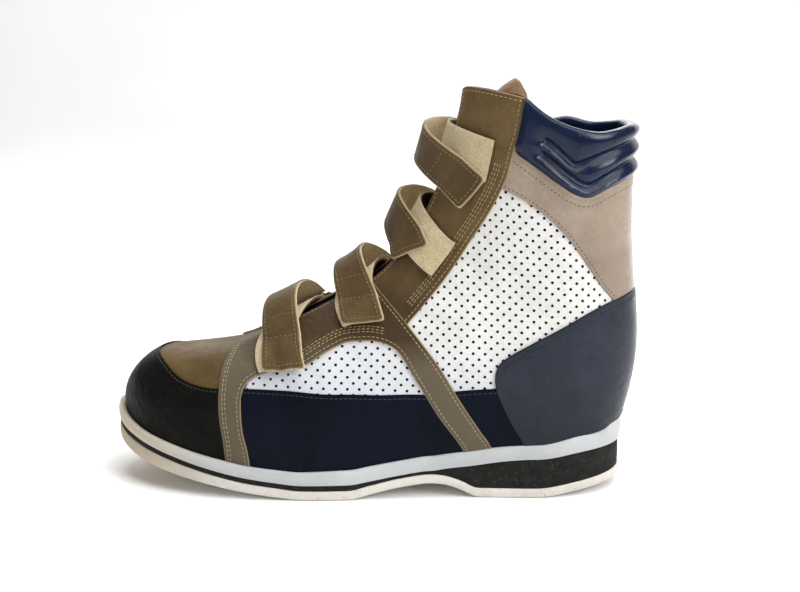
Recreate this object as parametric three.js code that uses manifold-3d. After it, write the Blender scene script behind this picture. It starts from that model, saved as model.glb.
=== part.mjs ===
// Orthopedic ankle boot, left foot, size about 43: a rocker sole in three layers, a hollow
// upper with leather overlays, a padded collar, a free tongue and four strap closures.
// Units are millimetres, +Z is up, the toe points to -X and the outer (little toe) side to -Y.
// The origin is on the floor, under the middle of the heel tread.
import * as THREE from 'three';
import { mergeVertices } from 'three/addons/utils/BufferGeometryUtils.js';
import Module from 'manifold-3d';

const wasm = await Module();
wasm.setup();

// Driving sizes of the sole
const SOLE_LENGTH = 307;
const HEEL_OVERHANG = 62; // from the origin to the rear end of the sole
const BALL_WIDTH = 104;
const HEEL_WIDTH = 76;
const TOE_SPRING = 23;
const TOE_ROUND = 95; // length over which the toe outline closes
const HEEL_ROUND = 59;
const TOE_SWING = 4; // how far the toe tip leans to the inner side
const OUTSOLE_THICKNESS = 5.6;
const HEEL_LIFT = 18; // thickness of the dark wedge under the heel
const MIDSOLE_THICKNESS = 8.6;
const WEDGE_INSET = 0.8;
const LEDGE = 4.6; // midsole ledge that stands out around the upper
const INSOLE_THICKNESS = 3.5;
const INSOLE_PLAY = 2.6; // room between the insole and the wall

// Driving sizes of the upper
const BACK_HEIGHT = 216; // collar above the floor, at the heel
const FRONT_HEIGHT = 238; // top of the facing above the floor
const SHAFT_WIDTH = 74.6;
const SHAFT_DEPTH = 98; // front to back at the top of the facing
const WALL = 2.0;
const THROAT_WIDTH = 25;
const OVERLAY = 1.2; // thickness of a leather overlay
const COLLAR_PAD = 4.4;
const TONGUE_WIDTH = 52;
const TONGUE_THICKNESS = 4;
const TONGUE_REACH = 66; // free top of the tongue, past the point where it leaves the facing
const GAP = 0.3;

// Driving sizes of the closures
const STRAP_WIDTH = 23;
const STRAP_THICKNESS = 1.8;
const STRAP_SLACK = 8; // how far the returning layer stands up over the throat
const STRAP_REST = 2.4; // underside of a strap above the bare upper
const RING_BAR = 3;
const RING_OPENING = 9;
const RING_PLAY = 1; // room between a strap's edge and the ring, on each side
const RING_PLACE = 31; // middle of a ring, along the skin from the throat line
const CHAPE_LENGTH = 14;
const CHAPE_WIDTH = 21;

const HALF = 0.5;
const SINK = 6; // how far the last runs below the midsole's top, so the cut leaves it open
const HEEL_X = HEEL_OVERHANG;
const TOE_X = HEEL_OVERHANG - SOLE_LENGTH;
const OUTSIDE = -1;
const INSIDE = 1;

// Sole table: 'along' is a share of SOLE_LENGTH from the heel end. 'tread' is a share of
// TOE_SPRING, 'outsole' of OUTSOLE_THICKNESS, 'wedge' of HEEL_LIFT, 'mid' of MIDSOLE_THICKNESS.
const SOLE_TABLE = [
  { along: 0.0, tread: 0.27, outsole: 1.0, wedge: 0.9, mid: 1.49 },
  { along: 0.039, tread: 0.2, outsole: 1.0, wedge: 0.96, mid: 1.43 },
  { along: 0.088, tread: 0.12, outsole: 1.0, wedge: 1.0, mid: 1.19 },
  { along: 0.163, tread: 0.0, outsole: 1.0, wedge: 1.0, mid: 0.98 },
  { along: 0.274, tread: 0.0, outsole: 1.0, wedge: 0.8, mid: 1.05 },
  { along: 0.309, tread: 0.195, outsole: 1.0, wedge: 0.47, mid: 1.05 },
  { along: 0.339, tread: 0.33, outsole: 1.0, wedge: 0.24, mid: 1.03 },
  { along: 0.365, tread: 0.374, outsole: 1.0, wedge: 0.125, mid: 1.03 },
  { along: 0.423, tread: 0.287, outsole: 1.0, wedge: 0.115, mid: 1.0 },
  { along: 0.482, tread: 0.113, outsole: 1.0, wedge: 0.155, mid: 1.02 },
  { along: 0.521, tread: 0.0, outsole: 1.0, wedge: 0.2, mid: 1.0 },
  { along: 0.609, tread: 0.0, outsole: 1.0, wedge: 0.19, mid: 0.91 },
  { along: 0.658, tread: 0.06, outsole: 1.02, wedge: 0.18, mid: 0.895 },
  { along: 0.723, tread: 0.165, outsole: 1.05, wedge: 0.18, mid: 0.84 },
  { along: 0.788, tread: 0.3, outsole: 1.15, wedge: 0.18, mid: 0.78 },
  { along: 0.853, tread: 0.443, outsole: 1.35, wedge: 0.18, mid: 0.74 },
  { along: 0.919, tread: 0.622, outsole: 1.5, wedge: 0.18, mid: 0.74 },
  { along: 0.967, tread: 0.817, outsole: 1.55, wedge: 0.18, mid: 0.76 },
  { along: 1.0, tread: 1.0, outsole: 1.55, wedge: 0.18, mid: 0.76 },
];

// Plan table: how far each side has grown from the heel's half width (0) to the ball's (1).
const PLAN_TABLE = [
  { along: 0.19, outer: 0.0, inner: 0.0 },
  { along: 0.306, outer: 0.07, inner: -0.12 },
  { along: 0.365, outer: 0.21, inner: -0.13 },
  { along: 0.423, outer: 0.42, inner: 0.0 },
  { along: 0.482, outer: 0.63, inner: 0.28 },
  { along: 0.537, outer: 0.845, inner: 0.6 },
  { along: 0.593, outer: 0.97, inner: 0.85 },
  { along: 0.645, outer: 1.0, inner: 0.95 },
  { along: 1.0, outer: 1.0, inner: 1.0 },
];

// Ridge table: the top line of the upper from the toe to the top of the shaft. 'along' is a
// share of SOLE_LENGTH from the heel end, 'up' a share of FRONT_HEIGHT.
const RIDGE_TABLE = [
  { along: 0.984, up: 0.322 },
  { along: 0.879, up: 0.329 },
  { along: 0.782, up: 0.343 },
  { along: 0.733, up: 0.356 },
  { along: 0.69, up: 0.38 },
];

// Fan table: the sections behind the toe box. Each runs from a 'foot' point (a share of
// SOLE_LENGTH along the sole, or where 'back' is given, a share of BACK_HEIGHT up the heel
// with 'bulge' as a share of HEEL_WIDTH) to a front point ('fx' along, 'fz' up, as in the
// ridge table). 'girth' is a share of half SHAFT_WIDTH, 'full' the place of the widest point,
// 'low' and 'top' how square the section is below and above it.
const FAN_TABLE = [
  { foot: 0.697, fx: 0.699, fz: 0.377, girth: 1.33, full: 0.3, low: 2.5, top: 2.5 },
  { foot: 0.645, fx: 0.6515, fz: 0.4076, girth: 1.33, full: 0.3, low: 2.5, top: 2.4 },
  { foot: 0.593, fx: 0.606, fz: 0.439, girth: 1.31, full: 0.3, low: 2.4, top: 2.3 },
  { foot: 0.541, fx: 0.5668, fz: 0.4677, girth: 1.27, full: 0.3, low: 2.3, top: 2.2 },
  { foot: 0.485, fx: 0.5326, fz: 0.4929, girth: 1.2, full: 0.3, low: 2.2, top: 2.1 },
  { foot: 0.423, fx: 0.5016, fz: 0.5168, girth: 1.14, full: 0.31, low: 2.1, top: 2.1 },
  { foot: 0.358, fx: 0.4772, fz: 0.542, girth: 1.1, full: 0.32, low: 1.9, top: 2.1 },
  { foot: 0.293, fx: 0.4577, fz: 0.5672, girth: 1.07, full: 0.33, low: 1.8, top: 2.1 },
  { foot: 0.228, fx: 0.4414, fz: 0.5945, girth: 1.045, full: 0.33, low: 1.7, top: 2.1 },
  { foot: 0.163, fx: 0.4265, fz: 0.6231, girth: 1.025, full: 0.34, low: 1.65, top: 2.15 },
  { foot: 0.101, fx: 0.4147, fz: 0.6492, girth: 1.005, full: 0.34, low: 1.6, top: 2.15 },
  { foot: 0.052, fx: 0.4036, fz: 0.6723, girth: 0.99, full: 0.35, low: 1.6, top: 2.2 },
  { foot: 0.024, fx: 0.3951, fz: 0.6912, girth: 0.98, full: 0.355, low: 1.65, top: 2.2 },
  { back: 0.167, bulge: -0.013, fx: 0.3883, fz: 0.7071, girth: 0.97, full: 0.36, low: 1.75, top: 2.2 },
  { back: 0.218, bulge: 0.013, fx: 0.3821, fz: 0.7227, girth: 0.965, full: 0.37, low: 1.85, top: 2.2 },
  { back: 0.278, bulge: 0.052, fx: 0.3733, fz: 0.745, girth: 0.96, full: 0.38, low: 1.95, top: 2.2 },
  { back: 0.352, bulge: 0.083, fx: 0.3642, fz: 0.771, girth: 0.955, full: 0.4, low: 2.0, top: 2.25 },
  { back: 0.431, bulge: 0.092, fx: 0.3557, fz: 0.7983, girth: 0.955, full: 0.41, low: 2.05, top: 2.25 },
  { back: 0.519, bulge: 0.074, fx: 0.3479, fz: 0.8277, girth: 0.96, full: 0.42, low: 2.1, top: 2.3 },
  { back: 0.611, bulge: 0.049, fx: 0.3407, fz: 0.8571, girth: 0.967, full: 0.43, low: 2.1, top: 2.3 },
  { back: 0.704, bulge: 0.03, fx: 0.3342, fz: 0.8866, girth: 0.975, full: 0.44, low: 2.15, top: 2.3 },
  { back: 0.796, bulge: 0.022, fx: 0.3283, fz: 0.916, girth: 0.985, full: 0.45, low: 2.15, top: 2.3 },
  { back: 0.889, bulge: 0.024, fx: 0.3225, fz: 0.9454, girth: 0.993, full: 0.455, low: 2.2, top: 2.3 },
  { back: 0.981, bulge: 0.03, fx: 0.3176, fz: 0.979, girth: 1.0, full: 0.46, low: 2.2, top: 2.3 },
  { back: 1.083, bulge: 0.033, fx: 0.3127, fz: 1.0252, girth: 1.008, full: 0.465, low: 2.2, top: 2.3 },
];

// Closures, from the toe up. 'row' counts fan sections. 'fixed' and 'tip' are lengths from the
// throat line down the outer side, to the sewn end and to the free end, and 'lead' and 'skew'
// are how far those two ends swing towards the toe.
const CLOSURES = [
  { row: 2.5, fixed: 47, lead: 17, tip: 49.5, skew: 15 },
  { row: 6.4, fixed: 42, lead: 15, tip: 38.5, skew: 15 },
  { row: 13.0, fixed: 40.5, lead: 13.5, tip: 22, skew: 21 },
  { row: 20.2, fixed: 44, lead: 0.5, tip: 39, skew: 21 },
];
const CORE_DEPTH = 40; // rays that place the straps start this deep under the throat line
const GIRTH_STEPS = 24;
const WIDEST_TURN = 0.62 * Math.PI; // how far round from the ridge the straps' rays go
const RAY_STEP = 3;
const SWING = 1.25; // power of the returning layer's swing towards the toe
const SETTLED = 0.62; // share of the tip's length where the returning layer lies down

// Rows of the fan between which the tongue lies, and its grid
const TONGUE_FROM = 0.4;
const TONGUE_LEAVES = 17.7;
const TONGUE_LEAN = 0.75; // slope of the tongue's free tip, in radians above the floor
const TONGUE_ROWS = 11;
const TONGUE_FREE_ROWS = 6;
const TONGUE_COLUMNS = 6;
const TONGUE_PLAY = 1.5;

const TOE_POLE = 0.198; // height of the toe's foremost point, a share of FRONT_HEIGHT
const TOE_ROWS = 8;
const TOE_STEP = 0.0036; // the first toe section lies this share of SOLE_LENGTH from the tip
const COLUMNS = 18;

// Small maths helpers

// Value of a column at a place, on a curve that never overshoots the table's rows.
function lookUp(table, column, place) {
  const xs = table.map((row) => row.along);
  const ys = table.map((row) => row[column]);
  const last = xs.length - 1;
  const sign = xs[last] > xs[0] ? 1 : -1;
  const at = place * sign;
  if (at <= xs[0] * sign) return ys[0];
  if (at >= xs[last] * sign) return ys[last];
  let i = 0;
  while (at > xs[i + 1] * sign) i += 1;
  const slope = (k) => (ys[k + 1] - ys[k]) / (xs[k + 1] - xs[k]);
  const bend = (k) => {
    if (k === 0) return slope(0);
    if (k === last) return slope(last - 1);
    const before = slope(k - 1);
    const after = slope(k);
    return before * after <= 0 ? 0 : (2 * before * after) / (before + after);
  };
  const width = xs[i + 1] - xs[i];
  const t = (place - xs[i]) / width;
  const a = bend(i) * width;
  const b = bend(i + 1) * width;
  const rise = ys[i + 1] - ys[i];
  return ys[i] + t * (a + t * (3 * rise - 2 * a - b + t * (a + b - 2 * rise)));
}

const mix = (a, b, t) => a + (b - a) * t;
const clamp01 = (t) => Math.min(1, Math.max(0, t));
const smooth = (t) => clamp01(t) ** 2 * (3 - 2 * clamp01(t));
const shareAlong = (x) => (HEEL_X - x) / SOLE_LENGTH;
const xAt = (share) => HEEL_X - share * SOLE_LENGTH;

// Quarter of a superellipse: 0 at t = 0, level at t = 1.
function roundEnd(t, power) {
  if (t <= 0) return 0;
  if (t >= 1) return 1;
  return (1 - (1 - t) ** power) ** (1 / power);
}

// Heights of the sole's layers above the floor
function soleHeights(x) {
  const at = shareAlong(x);
  const tread = lookUp(SOLE_TABLE, 'tread', at) * TOE_SPRING;
  const wedgeBottom = tread + lookUp(SOLE_TABLE, 'outsole', at) * OUTSOLE_THICKNESS;
  const midBottom = wedgeBottom + lookUp(SOLE_TABLE, 'wedge', at) * HEEL_LIFT;
  const bed = midBottom + lookUp(SOLE_TABLE, 'mid', at) * MIDSOLE_THICKNESS;
  return { tread, wedgeBottom, midBottom, bed };
}
const bedHeight = (x) => soleHeights(x).bed;

// Middle of the shoe, which swings inwards at the toe
const middle = (x) => TOE_SWING * clamp01((shareAlong(x) - 0.55) / 0.45) ** 2;

// Half width of the sole's outline on one side, with the outline drawn in by 'inset'
function planHalf(x, side, inset, heelInset) {
  const column = side === OUTSIDE ? 'outer' : 'inner';
  const grown = lookUp(PLAN_TABLE, column, shareAlong(x));
  const half = mix(HEEL_WIDTH * HALF, BALL_WIDTH * HALF, grown) - inset;
  const toe = roundEnd((x - TOE_X - inset) / TOE_ROUND, 2);
  const heel = roundEnd((HEEL_X - heelInset - x) / HEEL_ROUND, 2);
  return half * toe * heel;
}

// The last: one section for each row, from a foot point to a front point
const HEEL_LEDGE = LEDGE * 0.2;
const SHELL_INSET = LEDGE + 0.4;
const TIP_X = TOE_X + SHELL_INSET;

function toeSection(k) {
  const from = TOE_STEP * SOLE_LENGTH * k * k;
  const x = TIP_X + from;
  const pole = TOE_POLE * FRONT_HEIGHT;
  const ridge = lookUp(RIDGE_TABLE, 'up', shareAlong(x)) * FRONT_HEIGHT;
  const rise = roundEnd(from / (TOE_ROUND * 0.32), 1.8);
  const drop = roundEnd(from / (TOE_ROUND * 0.07), 2);
  const foot = bedHeight(x) - SINK;
  const outer = planHalf(x, OUTSIDE, SHELL_INSET, HEEL_LEDGE);
  const inner = planHalf(x, INSIDE, SHELL_INSET, HEEL_LEDGE);
  return {
    bx: x,
    bz: mix(pole, foot, drop),
    ax: x,
    az: mix(pole, ridge, rise),
    footOuter: outer * 0.96,
    footInner: inner * 0.96,
    outer: outer + 1.2 * rise,
    inner: inner + 1.2 * rise,
    full: 0.32,
    low: 2.3,
    top: mix(2.2, 2.6, rise),
    y: middle(x),
  };
}

function fanSection(row) {
  const onSole = row.foot !== undefined;
  const x = onSole ? xAt(row.foot) : HEEL_X + row.bulge * HEEL_WIDTH;
  const z = onSole ? bedHeight(x) - SINK : row.back * BACK_HEIGHT;
  const girth = row.girth * SHAFT_WIDTH * HALF;
  const outer = onSole ? planHalf(x, OUTSIDE, SHELL_INSET, HEEL_LEDGE) : 0;
  const inner = onSole ? planHalf(x, INSIDE, SHELL_INSET, HEEL_LEDGE) : 0;
  const shaftFront = HEEL_X - SHAFT_DEPTH;
  const frontShare = mix(row.fx, shareAlong(shaftFront) + row.fx - 0.319, smooth((row.fz - 0.5) / 0.4));
  return {
    bx: x,
    bz: z,
    ax: xAt(frontShare),
    az: row.fz * FRONT_HEIGHT,
    footOuter: outer,
    footInner: inner,
    outer: Math.max(girth, outer + 1),
    inner: Math.max(girth * 0.985, inner + 1),
    full: row.full,
    low: row.low,
    top: row.top,
    y: middle(x),
  };
}

const SECTIONS = [];
for (let k = 0; k <= TOE_ROWS; k += 1) SECTIONS.push(toeSection(k));
for (const row of FAN_TABLE) SECTIONS.push(fanSection(row));
const LAST_ROW = SECTIONS.length - 1;

// A section between two rows of the fan
function sectionAt(s) {
  const i = Math.min(LAST_ROW - 1, Math.max(0, Math.floor(s)));
  const t = s - i;
  const blend = {};
  for (const key of Object.keys(SECTIONS[0])) blend[key] = mix(SECTIONS[i][key], SECTIONS[i + 1][key], t);
  return blend;
}

// Half width of a section at share v of the way from its foot point to its front point
function halfAt(section, v, side) {
  const foot = side === OUTSIDE ? section.footOuter : section.footInner;
  const widest = side === OUTSIDE ? section.outer : section.inner;
  if (v <= section.full) return mix(foot, widest, roundEnd(v / section.full, section.low));
  return widest * roundEnd((1 - v) / (1 - section.full), section.top);
}

function pointAt(section, v, side) {
  const y = section.y + side * halfAt(section, v, side);
  return new THREE.Vector3(mix(section.bx, section.ax, v), y, mix(section.bz, section.az, v));
}

// One closed loop of the last: column 0 is the foot point, then up the outer side, over the
// front and down the inner side
function loopPoint(section, column, columns) {
  const turn = (2 * Math.PI * column) / columns;
  const v = (1 - Math.cos(turn)) * HALF;
  const isEnd = column % columns === 0 || 2 * column === columns;
  const side = column * 2 < columns ? OUTSIDE : INSIDE;
  if (!isEnd) return pointAt(section, v, side);
  return new THREE.Vector3(mix(section.bx, section.ax, v), section.y, mix(section.bz, section.az, v));
}

// Solid makers

// Closed solid from rows of points: each row is a closed loop. The ends are capped by fans, or
// joined to each other when the rows go round a ring.
function loft(rows, isRing = false) {
  const points = [];
  const faces = [];
  const count = rows[0].length;
  for (const row of rows) for (const p of row) points.push(p.x, p.y, p.z);
  const at = (i, j) => (i % rows.length) * count + (j % count);
  for (let i = 0; i < rows.length - (isRing ? 0 : 1); i += 1) {
    for (let j = 0; j < count; j += 1) {
      faces.push(at(i, j), at(i, j + 1), at(i + 1, j + 1));
      faces.push(at(i, j), at(i + 1, j + 1), at(i + 1, j));
    }
  }
  for (const [i, flip] of isRing ? [] : [[0, true], [rows.length - 1, false]]) {
    const centre = new THREE.Vector3();
    for (const p of rows[i]) centre.addScaledVector(p, 1 / count);
    const index = points.length / 3;
    points.push(centre.x, centre.y, centre.z);
    for (let j = 0; j < count; j += 1) {
      if (flip) faces.push(index, at(i, j + 1), at(i, j));
      else faces.push(index, at(i, j), at(i, j + 1));
    }
  }
  const geometry = new THREE.BufferGeometry();
  geometry.setAttribute('position', new THREE.Float32BufferAttribute(points, 3));
  geometry.setIndex(faces);
  return tidy(geometry);
}

// Merges equal points, drops faces without area and turns the faces outwards
function tidy(geometry) {
  const bare = geometry.clone();
  bare.deleteAttribute('normal');
  bare.deleteAttribute('uv');
  const merged = mergeVertices(bare, 1e-4);
  const place = merged.getAttribute('position');
  const index = merged.getIndex().array;
  const kept = [];
  let volume = 0;
  const corner = [new THREE.Vector3(), new THREE.Vector3(), new THREE.Vector3()];
  for (let i = 0; i < index.length; i += 3) {
    const [a, b, c] = [index[i], index[i + 1], index[i + 2]];
    if (a === b || b === c || c === a) continue;
    kept.push(a, b, c);
    [a, b, c].forEach((n, k) => corner[k].fromBufferAttribute(place, n));
    volume += corner[0].dot(corner[1].clone().cross(corner[2]));
  }
  for (let i = 0; volume < 0 && i < kept.length; i += 3) {
    [kept[i + 1], kept[i + 2]] = [kept[i + 2], kept[i + 1]];
  }
  merged.setIndex(kept);
  return merged;
}

function toSolid(geometry) {
  const clean = tidy(geometry.index ? geometry : mergeVertices(geometry));
  return new wasm.Manifold(new wasm.Mesh({
    numProp: 3,
    vertProperties: new Float32Array(clean.getAttribute('position').array),
    triVerts: new Uint32Array(clean.getIndex().array),
  }));
}

function toGeometry(solid) {
  const mesh = solid.getMesh();
  const geometry = new THREE.BufferGeometry();
  geometry.setAttribute('position', new THREE.BufferAttribute(new Float32Array(mesh.vertProperties), 3));
  geometry.setIndex(new THREE.BufferAttribute(new Uint32Array(mesh.triVerts), 1));
  return geometry;
}

// The last grown outwards (or shrunk, when negative) along its own normals
function grownLast(growth, sections = SECTIONS) {
  const growthAt = typeof growth === 'function' ? growth : () => growth;
  const rows = sections.slice(1).map((section) => {
    const row = [];
    for (let j = 0; j < COLUMNS; j += 1) row.push(loopPoint(section, j, COLUMNS));
    return row;
  });
  const moved = rows.map((row, i) => row.map((point, j) => {
    const before = rows[Math.max(0, i - 1)][j];
    const after = rows[Math.min(rows.length - 1, i + 1)][j];
    const left = row[(j + COLUMNS - 1) % COLUMNS];
    const right = row[(j + 1) % COLUMNS];
    const normal = after.clone().sub(before).cross(right.clone().sub(left)).normalize();
    return point.clone().addScaledVector(normal, growthAt(point) * outwards);
  }));
  const tip = sections[0];
  const pole = new THREE.Vector3(tip.bx - growthAt(moved[0][0]), tip.y, tip.az);
  moved.unshift(rows[0].map(() => pole.clone()));
  return toSolid(loft(moved));
}

// The sign that makes the grid's normals point out of the last
const outwards = (() => {
  const middleRow = SECTIONS[TOE_ROWS];
  const next = SECTIONS[TOE_ROWS + 1];
  const column = COLUMNS / 4;
  const here = loopPoint(middleRow, column, COLUMNS);
  const along = loopPoint(next, column, COLUMNS).sub(here);
  const around = loopPoint(middleRow, column + 1, COLUMNS).sub(here);
  return along.cross(around).y > 0 ? -1 : 1;
})();

// Prism across the shoe from a side view outline of [x, z] pairs
function sidePrism(outline, yFrom, yTo) {
  const shape = new THREE.Shape(outline.map(([x, z]) => new THREE.Vector2(x, z)));
  const geometry = new THREE.ExtrudeGeometry(shape, { depth: yTo - yFrom, bevelEnabled: false, steps: 1 });
  geometry.rotateX(Math.PI / 2);
  geometry.translate(0, yTo, 0);
  return toSolid(geometry);
}

// Prism straight up from a plan outline of [x, y] pairs
function planPrism(outline, zFrom, zTo) {
  const shape = new THREE.Shape(outline.map(([x, y]) => new THREE.Vector2(x, y)));
  const geometry = new THREE.ExtrudeGeometry(shape, { depth: zTo - zFrom, bevelEnabled: false, steps: 1 });
  geometry.translate(0, 0, zFrom);
  return toSolid(geometry);
}

// Moves every corner of a closed outline outwards by the same distance
function growOutline(outline, growth) {
  const count = outline.length;
  let area = 0;
  outline.forEach(([x, z], i) => {
    const [nx, nz] = outline[(i + 1) % count];
    area += x * nz - nx * z;
  });
  const sign = area > 0 ? 1 : -1;
  return outline.map(([x, z], i) => {
    const [px, pz] = outline[(i + count - 1) % count];
    const [nx, nz] = outline[(i + 1) % count];
    const inward = new THREE.Vector2(x - px, z - pz).normalize();
    const onward = new THREE.Vector2(nx - x, nz - z).normalize();
    const normal = new THREE.Vector2(inward.y + onward.y, -inward.x - onward.x).normalize();
    const spread = Math.max(0.5, normal.dot(new THREE.Vector2(onward.y, -onward.x)));
    return [x + (sign * growth * normal.x) / spread, z + (sign * growth * normal.y) / spread];
  });
}

// Side view outlines, in shares: 'a' of SOLE_LENGTH from the heel end, 'u' of FRONT_HEIGHT
const side = (pairs) => pairs.map(([a, u]) => [xAt(a), u * FRONT_HEIGHT]);
const plan = (pairs) => pairs.map(([a, w]) => [xAt(a), w * BALL_WIDTH]);

const FRONT_LEG_FRONT = side([
  [0.729, 0.41], [0.73, 0.37], [0.746, 0.358], [0.7585, 0.335], [0.766, 0.3], [0.768, 0.248],
  [0.766, 0.198], [0.759, 0.132], [0.753, 0.03],
]);
const FRONT_LEG_REAR = side([
  [0.704, 0.03], [0.711, 0.118], [0.72, 0.171], [0.723, 0.2214], [0.7225, 0.255],
]);
const FACING_LOWER_EDGE = side([
  [0.716, 0.28], [0.702, 0.297], [0.6824, 0.309], [0.641, 0.3235], [0.601, 0.334],
  [0.566, 0.361], [0.529, 0.384], [0.501, 0.3887], [0.478, 0.39], [0.453, 0.3845],
  [0.433, 0.372], [0.4186, 0.351], [0.4046, 0.321],
]);
const STRIP_FRONT = side([[0.376, 0.2613], [0.348, 0.2025], [0.319, 0.151], [0.304, 0.118], [0.289, 0.03]]);
const STRIP_REAR = side([
  [0.232, 0.03], [0.251, 0.1286], [0.273, 0.173], [0.311, 0.249], [0.3485, 0.3286],
  [0.3866, 0.393], [0.4257, 0.4517], [0.456, 0.4908], [0.482, 0.521],
]);
const FACING_UPPER_REAR = side([
  [0.1987, 0.9795], [0.208, 0.9034], [0.218, 0.853], [0.228, 0.798], [0.242, 0.7529],
  [0.263, 0.7], [0.2954, 0.6328], [0.332, 0.559], [0.368, 0.498], [0.412, 0.43],
]);
const COLLAR_SEAM = side([
  [0.208, 0.9], [0.216, 0.849], [0.1704, 0.808], [0.1336, 0.7735], [0.106, 0.751],
  [0.0824, 0.743], [0.0423, 0.7647], [-0.0055, 0.7858], [-0.06, 0.79],
]);
const COLLAR_TOP = side([
  [-0.06, 0.905], [-0.0163, 0.907], [0.0033, 0.9155], [0.029, 0.91], [0.065, 0.905],
  [0.1107, 0.918], [0.1547, 0.9454], [0.1987, 0.979],
]);
const FACING_TOP = side([
  [0.1987, 0.9795], [0.241, 0.9916], [0.285, 1.0], [0.306, 0.998], [0.3192, 0.969], [0.328, 0.94],
]);
const QUARTER_LOWER = side([
  [0.24, 0.766], [0.205, 0.744], [0.169, 0.714], [0.1316, 0.6714], [0.1033, 0.628],
  [0.0746, 0.5743], [0.0554, 0.5365], [0.03, 0.495],
]);
const COUNTER_TOP = side([
  [-0.06, 0.515], [-0.0114, 0.508], [0.029, 0.4937], [0.0713, 0.4693], [0.127, 0.4277],
  [0.182, 0.388], [0.218, 0.361], [0.237, 0.3416], [0.245, 0.3164], [0.2436, 0.2786],
  [0.23, 0.2336], [0.2104, 0.182], [0.189, 0.1336], [0.165, 0.03],
]);
const PLUG_OUTLINE = plan([
  [0.912, 0.02], [0.9055, -0.077], [0.8925, -0.163], [0.8664, -0.26], [0.84, -0.317],
  [0.80, -0.365], [0.74, -0.405], [0.66, -0.42], [0.66, 0.42], [0.74, 0.385], [0.79, 0.356],
  [0.8306, 0.322], [0.863, 0.27], [0.889, 0.192], [0.9055, 0.106],
]);

// Outlines of the overlays, closed beyond the skin where they run over its edge
const WAY_OUT = 40;
const ridgeBeyond = (from, to) => {
  const points = [];
  const steps = 5;
  for (let i = 0; i <= steps; i += 1) {
    const section = sectionAt(mix(from, to, i / steps));
    const out = new THREE.Vector2(section.ax - section.bx, section.az - section.bz).normalize();
    points.push([section.ax + out.x * WAY_OUT, section.az + out.y * WAY_OUT]);
  }
  return points;
};
const ROW_STRIP_TOP = TOE_ROWS + 6.3;
const ROW_FACING_FRONT = TOE_ROWS + 0.9;
const FACING_LOWER = [
  ...FRONT_LEG_FRONT, ...FRONT_LEG_REAR, ...FACING_LOWER_EDGE, ...STRIP_FRONT,
  ...STRIP_REAR, ...ridgeBeyond(ROW_STRIP_TOP, ROW_FACING_FRONT),
];
const FACING_UPPER = [
  ...FACING_TOP.slice().reverse(), ...FACING_UPPER_REAR.slice(1),
  ...STRIP_REAR.slice(-3), ...ridgeBeyond(ROW_STRIP_TOP, LAST_ROW - 1.6),
];
const COLLAR = [...COLLAR_TOP, ...COLLAR_SEAM];
const COUNTER = [...COUNTER_TOP, [HEEL_X + WAY_OUT, 0.03 * FRONT_HEIGHT]];
const BACK_QUARTER = [
  ...COLLAR_SEAM.slice(1), ...COUNTER_TOP.slice(0, 3), ...QUARTER_LOWER.slice().reverse(),
];
const LOW_FRONT = side([
  [0.735, 0.03], [0.745, 0.2], [0.74, 0.27], [0.7, 0.274], [0.629, 0.273], [0.5726, 0.267],
  [0.5166, 0.265], [0.459, 0.2626], [0.404, 0.2643], [0.345, 0.262], [0.28, 0.13], [0.262, 0.03],
]);
const LOW_REAR = side([
  [0.34, 0.27], [0.29, 0.276], [0.2, 0.283], [0.2, 0.2], [0.18, 0.03], [0.262, 0.03], [0.28, 0.13],
]);
const TOE_RAND = [
  ...side([[0.69, 0.42]]), ...FRONT_LEG_FRONT.slice(1), [TOE_X - WAY_OUT, 0.03 * FRONT_HEIGHT],
  [TOE_X - WAY_OUT, 0.42 * FRONT_HEIGHT],
];
const ROLL_EDGES = [0.42, 0.74, 1.0]; // lower edges of the collar's rolls, shares of its depth

// Region under the midsole's top, and region over the collar line
const SOLE_SHARES = [
  0.0, 0.0035, 0.014, 0.032, 0.06, 0.1, 0.163, 0.274, 0.2915, 0.309, 0.339, 0.365, 0.423, 0.482,
  0.521, 0.609, 0.658, 0.723, 0.788, 0.84, 0.88, 0.915, 0.945, 0.968, 0.985, 0.996, 1.0,
];
const soleXs = SOLE_SHARES.map(xAt);
const FLOOR_MARGIN = 60;
function underBed(lift) {
  const top = soleXs.map((x) => [x, bedHeight(x) + lift]);
  const first = [HEEL_X + FLOOR_MARGIN, top[0][1]];
  const last = [TOE_X - FLOOR_MARGIN, top[top.length - 1][1]];
  const outline = [first, ...top, last, [last[0], -FLOOR_MARGIN], [first[0], -FLOOR_MARGIN]];
  return sidePrism(outline, -BALL_WIDTH, BALL_WIDTH);
}
function overCollar() {
  const line = [...COLLAR_TOP, ...FACING_TOP.slice(1)];
  const last = line[line.length - 1];
  const high = FRONT_HEIGHT + WAY_OUT * 2;
  const outline = [...line, [last[0] - WAY_OUT, last[1]], [last[0] - WAY_OUT, high], [line[0][0], high]];
  return sidePrism(outline, -BALL_WIDTH, BALL_WIDTH);
}

// Slot of the throat: a band along the ridge, cut from rows 'from' to the top
function throatSlot(from, width) {
  const outside = ridgeBeyond(from, LAST_ROW);
  const inside = [];
  const steps = 8;
  const depth = THROAT_WIDTH * 0.7;
  for (let i = 0; i <= steps; i += 1) {
    const section = sectionAt(mix(LAST_ROW, from, i / steps));
    const inward = new THREE.Vector2(section.bx - section.ax, section.bz - section.az).normalize();
    inside.push([section.ax + inward.x * depth, section.az + inward.y * depth]);
  }
  return sidePrism([...outside, ...inside], -width * HALF, width * HALF);
}

// Sub-parts
const part = new THREE.Group();
function addPiece(name, geometry, colour, roughness, metalness = 0) {
  const material = new THREE.MeshStandardMaterial({ color: colour, roughness, metalness });
  const mesh = new THREE.Mesh(geometry, material);
  mesh.name = name;
  part.add(mesh);
}

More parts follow.
